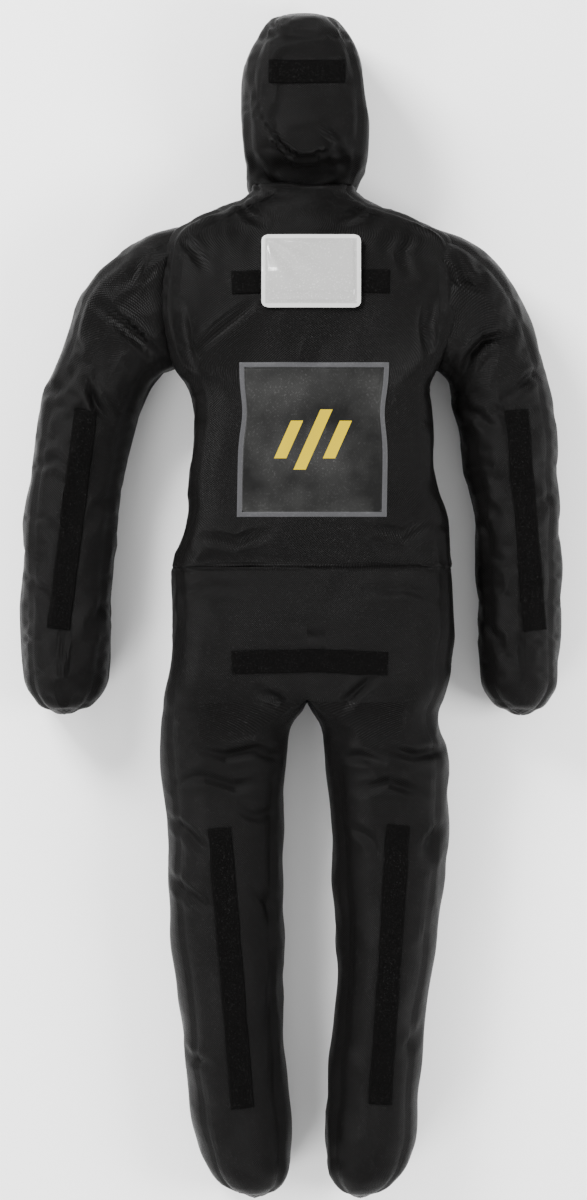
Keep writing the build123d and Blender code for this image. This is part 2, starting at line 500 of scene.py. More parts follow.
def ring_quads(count: int, ring: int) -> np.ndarray:
    """Quads of a grid whose rows are closed rings.

    Args:
        count: Number of rings.
        ring: Points in each ring.

    Returns:
        (m, 4) vertex indices.
    """
    a = np.arange(count - 1)[:, None] * ring + np.arange(ring)[None, :]
    b = np.arange(count - 1)[:, None] * ring + (np.arange(ring) + 1)[None, :] % ring
    return np.stack([a, a + ring, b + ring, b], axis=-1).reshape(-1, 4)


def math_node(
    tree: bpy.types.NodeTree,
    kind: str,
    a: bpy.types.NodeSocket | float,
    b: bpy.types.NodeSocket | float | None = None,
) -> bpy.types.NodeSocket:
    """Math node with its inputs set.

    Args:
        tree: Node tree it is added to.
        kind: Its operation.
        a: First value or socket.
        b: Second value or socket, None where the operation has one.

    Returns:
        Its output socket.
    """
    node = tree.nodes.new("ShaderNodeMath")
    node.operation = kind
    for socket, value in zip(node.inputs, (a, b)):
        if isinstance(value, (int, float)):
            socket.default_value = value
        elif value is not None:
            tree.links.new(value, socket)
    return node.outputs[0]


def lay_over(mat: bpy.types.Material, color: tuple[float, float, float], mask: bpy.types.NodeSocket) -> None:
    """Lay a colour over a material's own where a mask is 1.

    Args:
        mat: The material.
        color: Colour laid over it.
        mask: Socket of the mask.
    """
    base = mat.node_tree.nodes["Principled BSDF"].inputs["Base Color"]
    mix = mat.node_tree.nodes.new("ShaderNodeMix")
    mix.data_type = "RGBA"
    mix.inputs["B"].default_value = (*color, 1)
    mat.node_tree.links.new(mask, mix.inputs["Factor"])
    mat.node_tree.links.new(base.links[0].from_socket, mix.inputs["A"])
    mat.node_tree.links.new(mix.outputs["Result"], base)


def cloth_uv(tree: bpy.types.NodeTree) -> bpy.types.NodeOutputs:
    """Split cloth UV, in metres.

    Args:
        tree: Node tree it is added to.

    Returns:
        Sockets of its two values and an unused third.
    """
    uv = tree.nodes.new("ShaderNodeUVMap")
    uv.uv_map = "cloth"
    split = tree.nodes.new("ShaderNodeSeparateXYZ")
    tree.links.new(uv.outputs["UV"], split.inputs[0])
    return split.outputs


class Shop:
    """Makes each material once, from shared node groups."""

    def __init__(self) -> None:
        """Build the shared groups."""
        self.weave = self._weave_group()
        self.dust_and_sheen = self._dust_and_sheen_group()
        self.made: dict[str, bpy.types.Material] = {}

    @staticmethod
    def _group(
        name: str, inputs: list[tuple[str, str]], outputs: list[tuple[str, str]]
    ) -> bpy.types.NodeTree:
        """Empty node group with named sockets.

        Args:
            name: Its name.
            inputs: Name and socket type of each input.
            outputs: The same for each output.

        Returns:
            The group, with its input and output nodes named "in" and "out".
        """
        group = bpy.data.node_groups.new(name, "ShaderNodeTree")
        for label, kind in inputs:
            group.interface.new_socket(label, in_out="INPUT", socket_type=kind)
        for label, kind in outputs:
            group.interface.new_socket(label, in_out="OUTPUT", socket_type=kind)
        group.nodes.new("NodeGroupInput").name = "in"
        group.nodes.new("NodeGroupOutput").name = "out"
        return group

    def _weave_group(self) -> bpy.types.NodeTree:
        """Height of a plain weave: two crossed sets of rounded threads."""
        group = self._group(
            "plain weave",
            [("Vector", "NodeSocketVector"), ("Pitch", "NodeSocketFloat")],
            [("Height", "NodeSocketFloat")],
        )
        nodes, link = group.nodes, group.links.new
        split = nodes.new("ShaderNodeSeparateXYZ")
        link(nodes["in"].outputs["Vector"], split.inputs[0])
        waves = []
        for axis in range(2):
            over = math_node(group, "DIVIDE", split.outputs[axis], nodes["in"].outputs["Pitch"])
            waves.append(math_node(group, "SINE", math_node(group, "MULTIPLY", over, math.pi)))
        link(math_node(group, "MULTIPLY", *waves), nodes["out"].inputs["Height"])
        return group

    def _dust_and_sheen_group(self) -> bpy.types.NodeTree:
        """Uneven fluff and handling marks as a mask from 0 to 1, and broad patches used as painted sheen."""
        group = self._group(
            "lint_and_sheen",
            [("Vector", "NodeSocketVector")],
            [("Mask", "NodeSocketFloat"), ("Cloud", "NodeSocketFloat")],
        )
        nodes, link = group.nodes, group.links.new
        fine = nodes.new("ShaderNodeTexNoise")
        fine.inputs["Scale"].default_value = 520.0
        fine.inputs["Detail"].default_value = 2.0
        wide = nodes.new("ShaderNodeTexNoise")
        wide.inputs["Scale"].default_value = 14.0
        wide.inputs["Detail"].default_value = 4.0
        link(nodes["in"].outputs["Vector"], fine.inputs["Vector"])
        link(nodes["in"].outputs["Vector"], wide.inputs["Vector"])
        ramp = nodes.new("ShaderNodeMapRange")
        ramp.inputs["From Min"].default_value = 0.56
        ramp.inputs["From Max"].default_value = 0.75
        link(fine.outputs["Fac"], ramp.inputs["Value"])
        mask = math_node(group, "MULTIPLY", ramp.outputs["Result"], wide.outputs["Fac"])
        link(mask, nodes["out"].inputs["Mask"])
        link(wide.outputs["Fac"], nodes["out"].inputs["Cloud"])
        return group

    @staticmethod
    def _paint_highlight(
        mat: bpy.types.Material,
        color: bpy.types.NodeSocket,
        mask: bpy.types.NodeSocket,
        span: tuple[float, float],
        times: float,
    ) -> bpy.types.NodeSocket:
        """Colour lifted where a mask is high, as a painted highlight.

        Args:
            mat: Material being built.
            color: Socket of the colour so far.
            mask: Socket of the mask.
            span: Mask values that count as none and all.
            times: How many times brighter the raised parts are painted.

        Returns:
            Socket of the new colour.
        """
        nodes, link = mat.node_tree.nodes, mat.node_tree.links.new
        ramp = nodes.new("ShaderNodeMapRange")
        ramp.inputs["From Min"].default_value = span[0]
        ramp.inputs["From Max"].default_value = span[1]
        link(mask, ramp.inputs["Value"])
        bright = nodes.new("ShaderNodeMix")
        bright.data_type = "RGBA"
        bright.blend_type = "MULTIPLY"
        bright.inputs["Factor"].default_value = 1.0
        bright.inputs["B"].default_value = (times, times, times, 1)
        link(color, bright.inputs["A"])
        mix = nodes.new("ShaderNodeMix")
        mix.data_type = "RGBA"
        link(ramp.outputs["Result"], mix.inputs["Factor"])
        link(color, mix.inputs["A"])
        link(bright.outputs["Result"], mix.inputs["B"])
        return mix.outputs["Result"]

    def get(self, finish: Finish) -> bpy.types.Material:
        """Material of a finish.

        Args:
            finish: The finish.

        Returns:
            The material, built at first use.
        """
        if finish.name in self.made:
            return self.made[finish.name]
        mat = bpy.data.materials.new(finish.name)
        mat.use_nodes = True
        nodes, link = mat.node_tree.nodes, mat.node_tree.links.new
        bsdf = nodes["Principled BSDF"]
        bsdf.inputs["Base Color"].default_value = (*finish.color, 1)
        bsdf.inputs["Roughness"].default_value = finish.roughness
        bsdf.inputs["Sheen Weight"].default_value = finish.sheen
        bsdf.inputs["Sheen Roughness"].default_value = 0.45
        bsdf.inputs["Coat Weight"].default_value = finish.coat
        bsdf.inputs["Coat Roughness"].default_value = 0.12
        bsdf.inputs["Specular IOR Level"].default_value = finish.specular
        place = nodes.new("ShaderNodeTexCoord")
        # Real fluff and handling marks, and broad patches used as painted sheen.
        lint_and_sheen = nodes.new("ShaderNodeGroup")
        lint_and_sheen.node_tree = self.dust_and_sheen
        link(place.outputs["Object"], lint_and_sheen.inputs["Vector"])
        shade = nodes.new("ShaderNodeMix")
        shade.data_type = "RGBA"
        shade.inputs["A"].default_value = (*finish.color, 1)
        lifted = tuple(min(1.0, c * 1.8 + 0.0042) for c in finish.color)
        shade.inputs["B"].default_value = (*lifted, 1)
        link(lint_and_sheen.outputs["Mask"], shade.inputs["Factor"])
        color = shade.outputs["Result"]
        heights = []
        if finish.weave > 0:
            weave = nodes.new("ShaderNodeGroup")
            weave.node_tree = self.weave
            weave.inputs["Pitch"].default_value = finish.weave
            grain = nodes.new("ShaderNodeUVMap")
            grain.uv_map = "cloth"
            link(grain.outputs["UV"], weave.inputs["Vector"])
            heights.append((weave.outputs["Height"], finish.relief))
            # Tops of the threads painted lighter: a painted highlight on the weave.
            color = self._paint_highlight(mat, color, weave.outputs["Height"], (-0.2, 1.0), finish.thread)
        if finish.pile > 0:
            fuzz = nodes.new("ShaderNodeTexNoise")
            fuzz.inputs["Scale"].default_value = 1300.0
            fuzz.inputs["Detail"].default_value = 3.0
            link(place.outputs["Object"], fuzz.inputs["Vector"])
            heights.append((fuzz.outputs["Fac"], 0.0016 * finish.pile))
            # Highest pile tips painted five times lighter: a painted highlight.
            color = self._paint_highlight(mat, color, fuzz.outputs["Fac"], (0.45, 0.75), 5.0)
        if finish.cloud > 0:
            # Broad patches painted lighter: painted sheen on the satin print.
            color = self._paint_highlight(mat, color, lint_and_sheen.outputs["Cloud"], (0.38, 0.7), finish.cloud)
        link(color, bsdf.inputs["Base Color"])
        last = None
        for socket, distance in heights:
            bump = nodes.new("ShaderNodeBump")
            bump.inputs["Distance"].default_value = distance
            bump.inputs["Strength"].default_value = 0.7
            link(socket, bump.inputs["Height"])
            if last is not None:
                link(last.outputs["Normal"], bump.inputs["Normal"])
            last = bump
        if last is not None:
            link(last.outputs["Normal"], bsdf.inputs["Normal"])
        self.made[finish.name] = mat
        return mat


@dataclass(frozen=True)
class Bend:
    """One joint of the dummy, kept as a record; its hold only bakes a piece's transform.

    Args:
        parent: Body before the bend; not used.
        child: Body after it; not used.
        start: Where the bend starts, in metres; not used.
        stop: Where it ends; not used.
    """

    parent: str
    child: str
    start: tuple[float, float, float]
    stop: tuple[float, float, float]

    def hold(self, obj: bpy.types.Object) -> None:
        """Bake a piece's transform into its mesh; the piece is not attached to the joint.

        Args:
            obj: Mesh with no parent.
        """
        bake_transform(obj)


def tilted(point: tuple[float, float], tilt: float, reach: float, body: str, z: float) -> Bend:
    """Bend across a shoulder's slanting flex line.

    Args:
        point: Middle of the flex line in plan, in metres.
        tilt: Angle of the bend's direction from straight down the body, in degrees.
        reach: Half the length of the bend, in metres.
        body: Body after the bend.
        z: Height of the flex line, in metres.

    Returns:
        The bend.
    """
    way = np.array([math.sin(math.radians(tilt)), -math.cos(math.radians(tilt))])
    start = np.array(point) - way * reach
    stop = np.array(point) + way * reach
    return Bend("torso", body, (*start, z), (*stop, z))


NECK = Bend("torso", "head", (0.013, 0.448, 0.045), (0.013, 0.506, 0.045))
WAIST = Bend("torso", "pelvis", (0.023, 0.109, 0.065), (0.023, 0.005, 0.065))
RIGHT_SHOULDER = tilted((-0.207, 0.244), -30, 0.056, "right_arm", 0.044)
LEFT_SHOULDER = tilted((0.2335, 0.244), 30, 0.056, "left_arm", 0.044)
RIGHT_HIP = Bend("pelvis", "right_leg", (-0.074, HIP_TOP, 0.052), (-0.074, -0.219, 0.052))
LEFT_HIP = Bend("pelvis", "left_leg", (0.105, HIP_TOP, 0.052), (0.105, -0.219, 0.052))


@dataclass
class Segment:
    """One stuffed segment: its tube, its folds and how it is sewn and held.

    Args:
        tube: Shape of the cushion.
        folds: Creases in its front.
        lumps: Height of the soft unevenness in millimetres.
        crumple: Height of the fine crumpling in millimetres.
        seed: Which random field it draws from.
        groove: Depth of the seams in millimetres.
        fold_share: Share of the creases' depth that is drawn.
        normals: Outward normals, known once it is shaped.
    """

    tube: Tube
    folds: tuple[Fold, ...] = ()
    lumps: float = 1.6
    crumple: float = 0.55
    seed: int = 1
    groove: float = 1.8
    fold_share: float = 1.0
    normals: np.ndarray = field(default=None, repr=False)

    def shape(self) -> None:
        """Press the seams in, then add lumps, crumpling and creases along the normals."""
        tube = self.tube
        n = self._even_middle(tube.normals())
        p = tube.points
        run = np.cumsum(np.linalg.norm(np.diff(p, axis=1, append=p[:, :1]), axis=2), axis=1)
        run = run - run[:, :1]
        gap = np.full(p.shape[:2], np.inf)
        unsewn = 0.2 * tube.stations[:, 8:9]
        for j, inner in zip(tube.seams[:4], (True, False, False, True)):
            around = np.abs(run - run[:, j : j + 1])
            around = np.minimum(around, np.abs(run[:, -1:] - around))
            gap = np.minimum(gap, around + (unsewn if inner else 0.0))
        station_run = np.cumsum(
            np.concatenate([[0], np.linalg.norm(np.diff(p.mean(axis=1), axis=0), axis=1)])
        )
        if not tube.lip_end:
            along = np.abs(station_run - station_run[tube.end_seam])[:, None]
            gap = np.minimum(gap, np.broadcast_to(along, gap.shape))
        pucker = 1.0 + 0.55 * np.sin(station_run * 2 * math.pi / 0.017 + 2.0 * ripple(p, 0.05, 7)[:, 0])
        dip = self.groove * MM * np.exp(-((gap / 0.0026) ** 2))
        puff = 0.45 * MM * np.exp(-(((gap - 0.009) / 0.005) ** 2)) * pucker[:, None]
        push = -dip + puff
        push = push + self.lumps * MM * ripple(p, 0.085, self.seed)
        ridge = 1 - np.abs(ripple(p * np.array([1.0, 0.75, 1.0]), 0.045, self.seed + 11)) * 2.2
        patch = smooth(0.5 + 1.2 * ripple(p, 0.13, self.seed + 23))
        push = push + self.crumple * MM * ridge * patch
        top = smooth(n[..., 2] * 1.6)
        for fold in self.folds:
            push = push + CREASE_GAIN * fold.height(p[..., :2]) * top * self.fold_share
        z_room = smooth(p[..., 2] / 0.02)
        push = np.where(n[..., 2] < -0.2, push * z_room, push)
        tube.points = p + n * push[..., None]
        tube.points[..., 2] = np.maximum(tube.points[..., 2], MAT_GAP)
        self._tuck_middle()
        self.normals = self._even_middle(tube.normals())
        self.station_run = station_run

    def relax(self) -> None:
        """Let the cover settle over its filling by a cloth simulation.

        A coarse copy of the grid is simulated with its seams, its ends and its underside held.
        Its movement along the normals, capped, is spread over the full grid. The two halves of
        the trousers come out of it unmoved, and much of the torso sinks past the cap.
        """
        tube = self.tube
        i_at = np.unique(np.append(np.arange(0, tube.points.shape[0], 2), tube.points.shape[0] - 1))
        ring = tube.points.shape[1]
        j_at = np.arange(0, ring, 2)
        p = tube.points[np.ix_(i_at, j_at)]
        rows_n, cols_n = p.shape[:2]
        obj = build_mesh(f"settling_{tube.name}", p.reshape(-1, 3), ring_quads(rows_n, cols_n))
        held = np.zeros((rows_n, cols_n))
        for seam in tube.seams[:4]:
            k = int(np.argmin(np.abs(j_at - seam)))
            held[:, k] = 1.0
        held[i_at <= tube.near_count + 1] = 1.0
        held[i_at >= tube.end_seam] = 1.0
        held[p[..., 2] < HELD_BELOW] = 1.0
        half = smooth(tube.stations[i_at, 8] * 2 - 0.6)
        held[:, :2] = np.maximum(held[:, :2], half[:, None])
        group = obj.vertex_groups.new(name="held")
        for weight in np.unique(held):
            if weight > 0:
                at = np.flatnonzero(held.ravel() == weight).tolist()
                group.add(at, float(weight), "REPLACE")
        cloth = obj.modifiers.new("cloth", "CLOTH")
        cloth.settings.quality = 5
        cloth.settings.mass = 0.3
        cloth.settings.vertex_group_mass = "held"
        cloth.settings.pin_stiffness = 50.0
        cloth.settings.use_pressure = True
        cloth.settings.uniform_pressure_force = 5.0
        cloth.settings.shrink_min = -0.022
        cloth.settings.tension_stiffness = 18.0
        cloth.settings.compression_stiffness = 18.0
        cloth.settings.shear_stiffness = 6.0
        cloth.settings.bending_stiffness = 0.25
        cloth.settings.effector_weights.gravity = 0.0
        cloth.point_cache.frame_start = 1
        cloth.point_cache.frame_end = SETTLE_FRAMES
        scene = bpy.context.scene
        for frame in range(1, SETTLE_FRAMES + 1):
            scene.frame_set(frame)
        graph = bpy.context.evaluated_depsgraph_get()
        after = np.zeros(rows_n * cols_n * 3, np.float32)
        obj.evaluated_get(graph).data.vertices.foreach_get("co", after)
        scene.frame_set(1)
        bpy.data.objects.remove(obj, do_unlink=True)
        moved = ((after.reshape(p.shape) - p) * self.normals[np.ix_(i_at, j_at)]).sum(axis=-1)
        moved = np.nan_to_num(moved)
        LOG.info("%s settled by %.1f to %.1f mm", tube.name, moved.min() / MM, moved.max() / MM)
        cap = SETTLE_CAP * MM
        moved = cap * np.tanh(moved / cap)
        side = np.abs(self.normals[np.ix_(i_at, j_at)][..., 2]) < 0.5
        moved = np.where(side, SETTLE_SIDE * moved, moved)
        wide = np.concatenate([moved, moved[:, :1]], axis=1)
        at_j = np.append(j_at, ring)
        fine = np.stack([np.interp(np.arange(ring), at_j, row) for row in wide])
        stations = np.arange(tube.points.shape[0])
        fine = np.stack([np.interp(stations, i_at, fine[:, j]) for j in range(ring)], axis=1)
        tube.points = tube.points + self.normals * fine[..., None]
        tube.points[..., 2] = np.maximum(tube.points[..., 2], MAT_GAP)
        self._tuck_middle()
        self.normals = self._even_middle(tube.normals())

    def _tuck_middle(self) -> None:
        """Keep a half body's inner wall upright and under the front, where the halves meet."""
        tube = self.tube
        half = tube.stations[:, 8] > 0.97
        p = tube.points[half]
        wall = slice(tube.seams[3] + tube.corner_cells, None)
        p[:, wall, 0] = MIDDLE * MM
        p[:, wall, 2] = np.minimum(p[:, wall, 2], p[:, :1, 2] - 0.8 * MM)
        p[:, :1, 0] = MIDDLE * MM
        tube.points[half] = p

    def _even_middle(self, n: np.ndarray) -> np.ndarray:
        """Carry the front's normals on to the middle, where two half bodies meet.

        Args:
            n: (stations, ring, 3) normals.

        Returns:
            The same with the first part of each ring evened out.
        """
        tube = self.tube
        half = smooth(tube.stations[:, 8] * 1.6 - 0.5)[:, None, None]
        k = 2 * tube.corner_cells + 1
        spot = tube.corner_cells + 3
        near = n[:, spot : spot + 1] * np.array([0.0, 1.0, 1.0])
        near = near / np.maximum(np.linalg.norm(near, axis=-1, keepdims=True), 1e-9)
        out = n.copy()
        out[:, :k] = n[:, :k] * (1 - half) + near * half
        return out / np.maximum(np.linalg.norm(out, axis=-1, keepdims=True), 1e-9)

    def split(self, y: float) -> int:
        """First station past a height up the body.

        Args:
            y: The height in metres.

        Returns:
            Index of the station.
        """
        middle = 0.5 * (self.tube.stations[:, 1] + self.tube.stations[:, 3])
        return int(np.argmax(middle[8:] < y)) + 8


@dataclass(frozen=True)
class Span:
    """Stretch of one segment's grid.

    Args:
        segment: The segment.
        first: First station.
        last: Last station.
        start: First ring index.
        stop: Last ring index.
    """

    segment: Segment
    first: int
    last: int
    start: int
    stop: int


def panel(name: str, spans: list[Span], finish: bpy.types.Material) -> bpy.types.Object:
    """One cover panel cut from stretches of the segments' grids.

    Args:
        name: Piece name.
        spans: The stretches it is made of.
        finish: Its material.

    Returns:
        The mesh object, with its own cloth UV in metres.
    """
    verts, quads, normals, uvs = [], [], [], []
    base = 0
    for span in spans:
        segment, tube = span.segment, span.segment.tube
        grid, faces = tube.faces(span.first, span.last, span.start, span.stop)
        flat = tube.points.reshape(-1, 3)
        verts.append(flat[grid.ravel()])
        normals.append(segment.normals.reshape(-1, 3)[grid.ravel()])
        run = segment.station_run[span.first : span.last + 1]
        cells = np.linalg.norm(np.diff(flat[grid], axis=1), axis=2).mean(axis=0)
        across = np.concatenate([[0], np.cumsum(cells)])
        u, v = np.meshgrid(run, across, indexing="ij")
        uvs.append(np.stack([u, v], axis=-1).reshape(-1, 2))
        here, here_n = verts[-1], normals[-1]
        cross = np.cross(here[faces[:, 2]] - here[faces[:, 0]], here[faces[:, 3]] - here[faces[:, 1]])
        if (cross * here_n[faces[:, 0]]).sum() < 0:
            faces = faces[:, ::-1]
        quads.append(faces[np.linalg.norm(cross, axis=1) > 1e-10] + base)
        base += grid.size
    verts, normals = np.vstack(verts), np.vstack(normals)
    quads, uvs = np.vstack(quads), np.vstack(uvs)
    obj = build_mesh(name, verts, quads)
    give_uv(obj, uvs)
    obj.data.normals_split_custom_set_from_vertices(normals.tolist())
    obj.data.materials.append(finish)
    return obj


def give_uv(obj: bpy.types.Object, uvs: np.ndarray) -> None:
    """Store a cloth UV from one value per vertex.

    Args:
        obj: The mesh object.
        uvs: (n, 2) values in metres.
    """
    layer = obj.data.uv_layers.new(name="cloth")
    index = np.zeros(len(obj.data.loops), np.int32)
    obj.data.loops.foreach_get("vertex_index", index)
    layer.data.foreach_set("uv", uvs[index].astype(np.float32).ravel())


def filling(
    name: str, spans: list[Span], finish: bpy.types.Material, depth: float
) -> bpy.types.Object:
    """Block of filling: the cushion's own form drawn in under the cover, closed at both ends.

    Args:
        name: Piece name.
        spans: Stretches of stations it fills, ring indices unused.
        finish: Its material.
        depth: How far under the cover in millimetres.

    Returns:
        The mesh object.
    """
    verts, quads = [], []
    base = 0
    for span in spans:
        tube = span.segment.tube
        rings = tube.points[span.first : span.last + 1 : 3, ::2]
        middle = rings.mean(axis=1, keepdims=True)
        out = rings - middle
        wide = np.linalg.norm(out[..., :2], axis=-1).max(axis=1)
        tall = np.abs(out[..., 2]).max(axis=1)
        share = np.stack([wide, wide, tall], axis=-1)[:, None, :]
        rings = middle + out * np.maximum(1 - depth * MM / np.maximum(share, 1e-6), 0.05)
        ends = [middle[:1] + (rings[:1] - middle[:1]) * s for s in (0.02, 0.5)]
        far = [middle[-1:] + (rings[-1:] - middle[-1:]) * s for s in (0.5, 0.02)]
        rings = np.concatenate([*ends, rings, *far])
        count, ring = rings.shape[:2]
        faces = ring_quads(count, ring)
        here = rings.reshape(-1, 3)
        away = here - np.repeat(rings.mean(axis=1), ring, axis=0)
        cross = np.cross(here[faces[:, 2]] - here[faces[:, 0]], here[faces[:, 3]] - here[faces[:, 1]])
        if (cross * away[faces[:, 0]]).sum() < 0:
            faces = faces[:, ::-1]
        verts.append(here)
        quads.append(faces + base)
        base += count * ring
    verts, quads = np.vstack(verts), np.vstack(quads)
    obj = build_mesh(name, verts, quads)
    obj.data.materials.append(finish)
    return obj


class Ground:
    """The sewn front surface, for pieces that lie on it."""

    def __init__(self, objects: list[bpy.types.Object]) -> None:
        """Collect the front panels into one search tree."""
        verts, faces = [], []
        base = 0
        for obj in objects:
            co = np.zeros(len(obj.data.vertices) * 3, np.float32)
            obj.data.vertices.foreach_get("co", co)
            verts.append(co.reshape(-1, 3))
            faces.extend([base + i for i in poly.vertices] for poly in obj.data.polygons)
            base += len(obj.data.vertices)
        self.tree = BVHTree.FromPolygons(np.vstack(verts).tolist(), faces)

    def height(self, plan: np.ndarray, rounds: int = 3) -> np.ndarray:
        """Height of the surface under a grid of plan points, evened out as stiff tape does.

        Args:
            plan: (s, t, 2) positions in metres.
            rounds: How many times neighbours are averaged.

        Returns:
            (s, t) heights in metres.
        """
        raw = np.zeros(plan.shape[:2])
        down = Vector((0, 0, -1))
        for i, row in enumerate(plan):
            for j, (x, y) in enumerate(row):
                hit = self.tree.ray_cast(Vector((x, y, 0.3)), down)[0]
                raw[i, j] = hit.z if hit is not None else np.nan
        raw = np.where(np.isnan(raw), np.nanmin(raw), raw)
        even = raw.copy()
        for _ in range(rounds):
            padded = np.pad(even, 1, mode="edge")
            even = (
                padded[:-2, 1:-1] + padded[2:, 1:-1] + padded[1:-1, :-2] + padded[1:-1, 2:] + 2 * even
            ) / 6
        return np.maximum(even, raw + 0.0001)


def slab(
    name: str,
    plan: np.ndarray,
    base: np.ndarray,
    thick: float,
    edge: float,
    finish: bpy.types.Material,
    under: float = 0.4,
) -> bpy.types.Object:
    """Thin closed sheet lying on a surface, with softly rounded edges.

    The top falls to the rim along a quarter ellipse over the edge width; the rim drops to the
    bottom, which lies a little inside the surface under it.

    Args:
        name: Piece name.
        plan: (s, t, 2) plan positions in metres.
        base: (s, t) height of the surface under it.
        thick: Thickness in millimetres.
        edge: Width of the rounded edge in millimetres.
        finish: Its material.
        under: How far its bottom lies under the surface in millimetres.

    Returns:
        The mesh object.
    """
    s, t = plan.shape[:2]
    run_s = np.concatenate([[0], np.cumsum(np.linalg.norm(np.diff(plan, axis=0), axis=2).mean(axis=1))])
    run_t = np.concatenate([[0], np.cumsum(np.linalg.norm(np.diff(plan, axis=1), axis=2).mean(axis=0))])
    inset = np.minimum(
        np.minimum(run_s, run_s[-1] - run_s)[:, None], np.minimum(run_t, run_t[-1] - run_t)[None, :]
    )
    d = np.clip(1 - inset / (edge * MM), 0, 1)
    top = base + thick * MM * (0.25 + 0.75 * np.sqrt(1 - d * d))
    low = base - under * MM
    verts = np.concatenate(
        [
            np.concatenate([plan, top[..., None]], axis=-1).reshape(-1, 3),
            np.concatenate([plan, low[..., None]], axis=-1).reshape(-1, 3),
        ]
    )
    a = np.arange(s - 1)[:, None] * t + np.arange(t - 1)[None, :]
    grid = np.stack([a, a + t, a + t + 1, a + 1], axis=-1).reshape(-1, 4)
    one = verts[grid[0, 2]] - verts[grid[0, 0]]
    two = verts[grid[0, 3]] - verts[grid[0, 1]]
    if np.cross(one, two)[2] < 0:
        grid = grid[:, ::-1]
        flip = True
    else:
        flip = False
    half = s * t
    loop = (
        [(0, j) for j in range(t - 1)]
        + [(i, t - 1) for i in range(s - 1)]
        + [(s - 1, j) for j in range(t - 1, 0, -1)]
        + [(i, 0) for i in range(s - 1, 0, -1)]
    )
    ring = np.array([i * t + j for i, j in loop])
    nxt = np.roll(ring, -1)
    walls = np.stack([ring, nxt, nxt + half, ring + half], axis=-1)
    if not flip:
        walls = walls[:, ::-1]
    quads = np.vstack([grid, grid[:, ::-1] + half, walls])
    obj = build_mesh(name, verts, quads.copy())
    uv = np.concatenate([plan.reshape(-1, 2), plan.reshape(-1, 2)])
    give_uv(obj, uv)
    obj.data.materials.append(finish)
    return obj


def round_rect(
    centre: tuple[float, float], size: tuple[float, float], corner: float, cells: tuple[int, int]
) -> np.ndarray:
    """Grid of plan points over a rectangle with rounded corners.

    Each row spans the local width, so the rim follows the corners' arcs.

    Args:
        centre: Middle in millimetres.
        size: Width and height in millimetres.
        corner: Corner radius in millimetres.
        cells: Cells across and up.

    Returns:
        (up, across, 2) positions in metres.
    """
    w, h = size[0] / 2, size[1] / 2
    turn = np.linspace(-1, 1, cells[1] + 1)
    v = h * np.sin(turn * math.pi / 2) * 0.35 + h * turn * 0.65
    into = np.clip(np.abs(v) - (h - corner), 0, corner)
    local = w - corner + np.sqrt(np.maximum(corner**2 - into**2, 0.0))
    turn = np.linspace(-1, 1, cells[0] + 1)
    u = np.sin(turn * math.pi / 2) * 0.35 + turn * 0.65
    x = centre[0] + u[None, :] * local[:, None]
    y = np.broadcast_to(centre[1] + v[:, None], x.shape)
    return np.stack([x, y], axis=-1) * MM


def ribbon(line: tuple[tuple[float, float], ...], width: float, cell: float = 3.0) -> np.ndarray:
    """Grid of plan points along a straight or bent strip.

    Args:
        line: Plan points of its middle in millimetres.
        width: Width in millimetres.
        cell: Size of a cell in millimetres.

    Returns:
        (along, across, 2) positions in metres.
    """
    pts = np.array(line, float)
    lengths = np.concatenate([[0], np.cumsum(np.linalg.norm(np.diff(pts, axis=0), axis=1))])
    count = max(6, int(round(lengths[-1] / cell)))
    at = np.linspace(0, 1, count - 3) * (lengths[-1] - 1.6) + 0.8
    at = np.concatenate([[0, 0.25], at, [lengths[-1] - 0.25, lengths[-1]]])
    x, y = np.interp(at, lengths, pts[:, 0]), np.interp(at, lengths, pts[:, 1])
    middle = np.stack([x, y], axis=-1)
    way = np.gradient(middle, axis=0)
    way /= np.linalg.norm(way, axis=1, keepdims=True)
    side = np.stack([-way[:, 1], way[:, 0]], axis=-1)
    spread = np.array([-1, -0.98, -0.94, -0.87, -0.6, -0.3, 0, 0.3, 0.6, 0.87, 0.94, 0.98, 1]) * width / 2
    return (middle[:, None] + side[:, None] * spread[None, :, None]) * MM


def rows(*items: tuple[float, ...]) -> np.ndarray:
    """Control rows as an array.

    Args:
        items: The rows.

    Returns:
        (n, columns) values.
    """
    return np.array(items, float)


def head_rows() -> np.ndarray:
    """Head from the neck to the crown: across, then low and high in height.

    Returns:
        Control rows of its tube.
    """
    table = (
        (440, -34, 60, 22, 82, 30), (450, -44, 71, 14, 84, 34), (462, -48, 76, 6, 90, 36),
        (472, -50, 80, 2, 101, 38), (481, -52, 81, 0, 116, 38), (495, -54.5, 83, 0, 122, 38),
        (520, -56, 84, 0, 126, 38), (545, -55, 82, 0, 127, 38), (566, -53, 80, 0, 126, 38),
        (584, -49, 76, 0, 125, 38), (599, -44, 70, 0, 124, 37), (610, -38, 64, 1, 121, 35),
    )
    return rows(*[(a, y, b, y, lo, hi, r, r, 0) for y, a, b, lo, hi, r in table])


def torso_rows() -> np.ndarray:
    """Torso from the waist seam to the collar.

    Returns:
        Control rows of its tube.
    """
    table = (
        (46.2, -128.5, 171.5, 0, 120, 34), (60, -125, 170, 0, 124, 36), (82, -119, 169, 0, 127, 38),
        (104, -113, 166, 0, 128, 38), (126, -112, 158, 0, 128, 38), (148, -110, 154, 0, 128, 38),
        (180, -106, 153, 0, 129, 38), (212, -104, 151, 0, 130, 38), (236, -110, 148, 0, 130, 36),
        (258, -128, 158, 0, 129, 28), (285, -135, 168, 0, 128, 22), (317, -138, 177, 0, 127, 20),
        (348, -139, 179, 0, 124, 20), (375, -138, 177, 1, 119, 22), (394, -134, 170, 4, 114, 26),
        (408, -122, 150, 8, 110, 30), (420, -98, 124, 12, 107, 30), (430, -77, 99, 15, 105, 30),
        (440, -54, 80, 18, 104, 30), (448, -44, 70, 21, 102, 28),
    )
    return rows(*[(a, y, b, y, lo, hi, r, r, 0) for y, a, b, lo, hi, r in table])


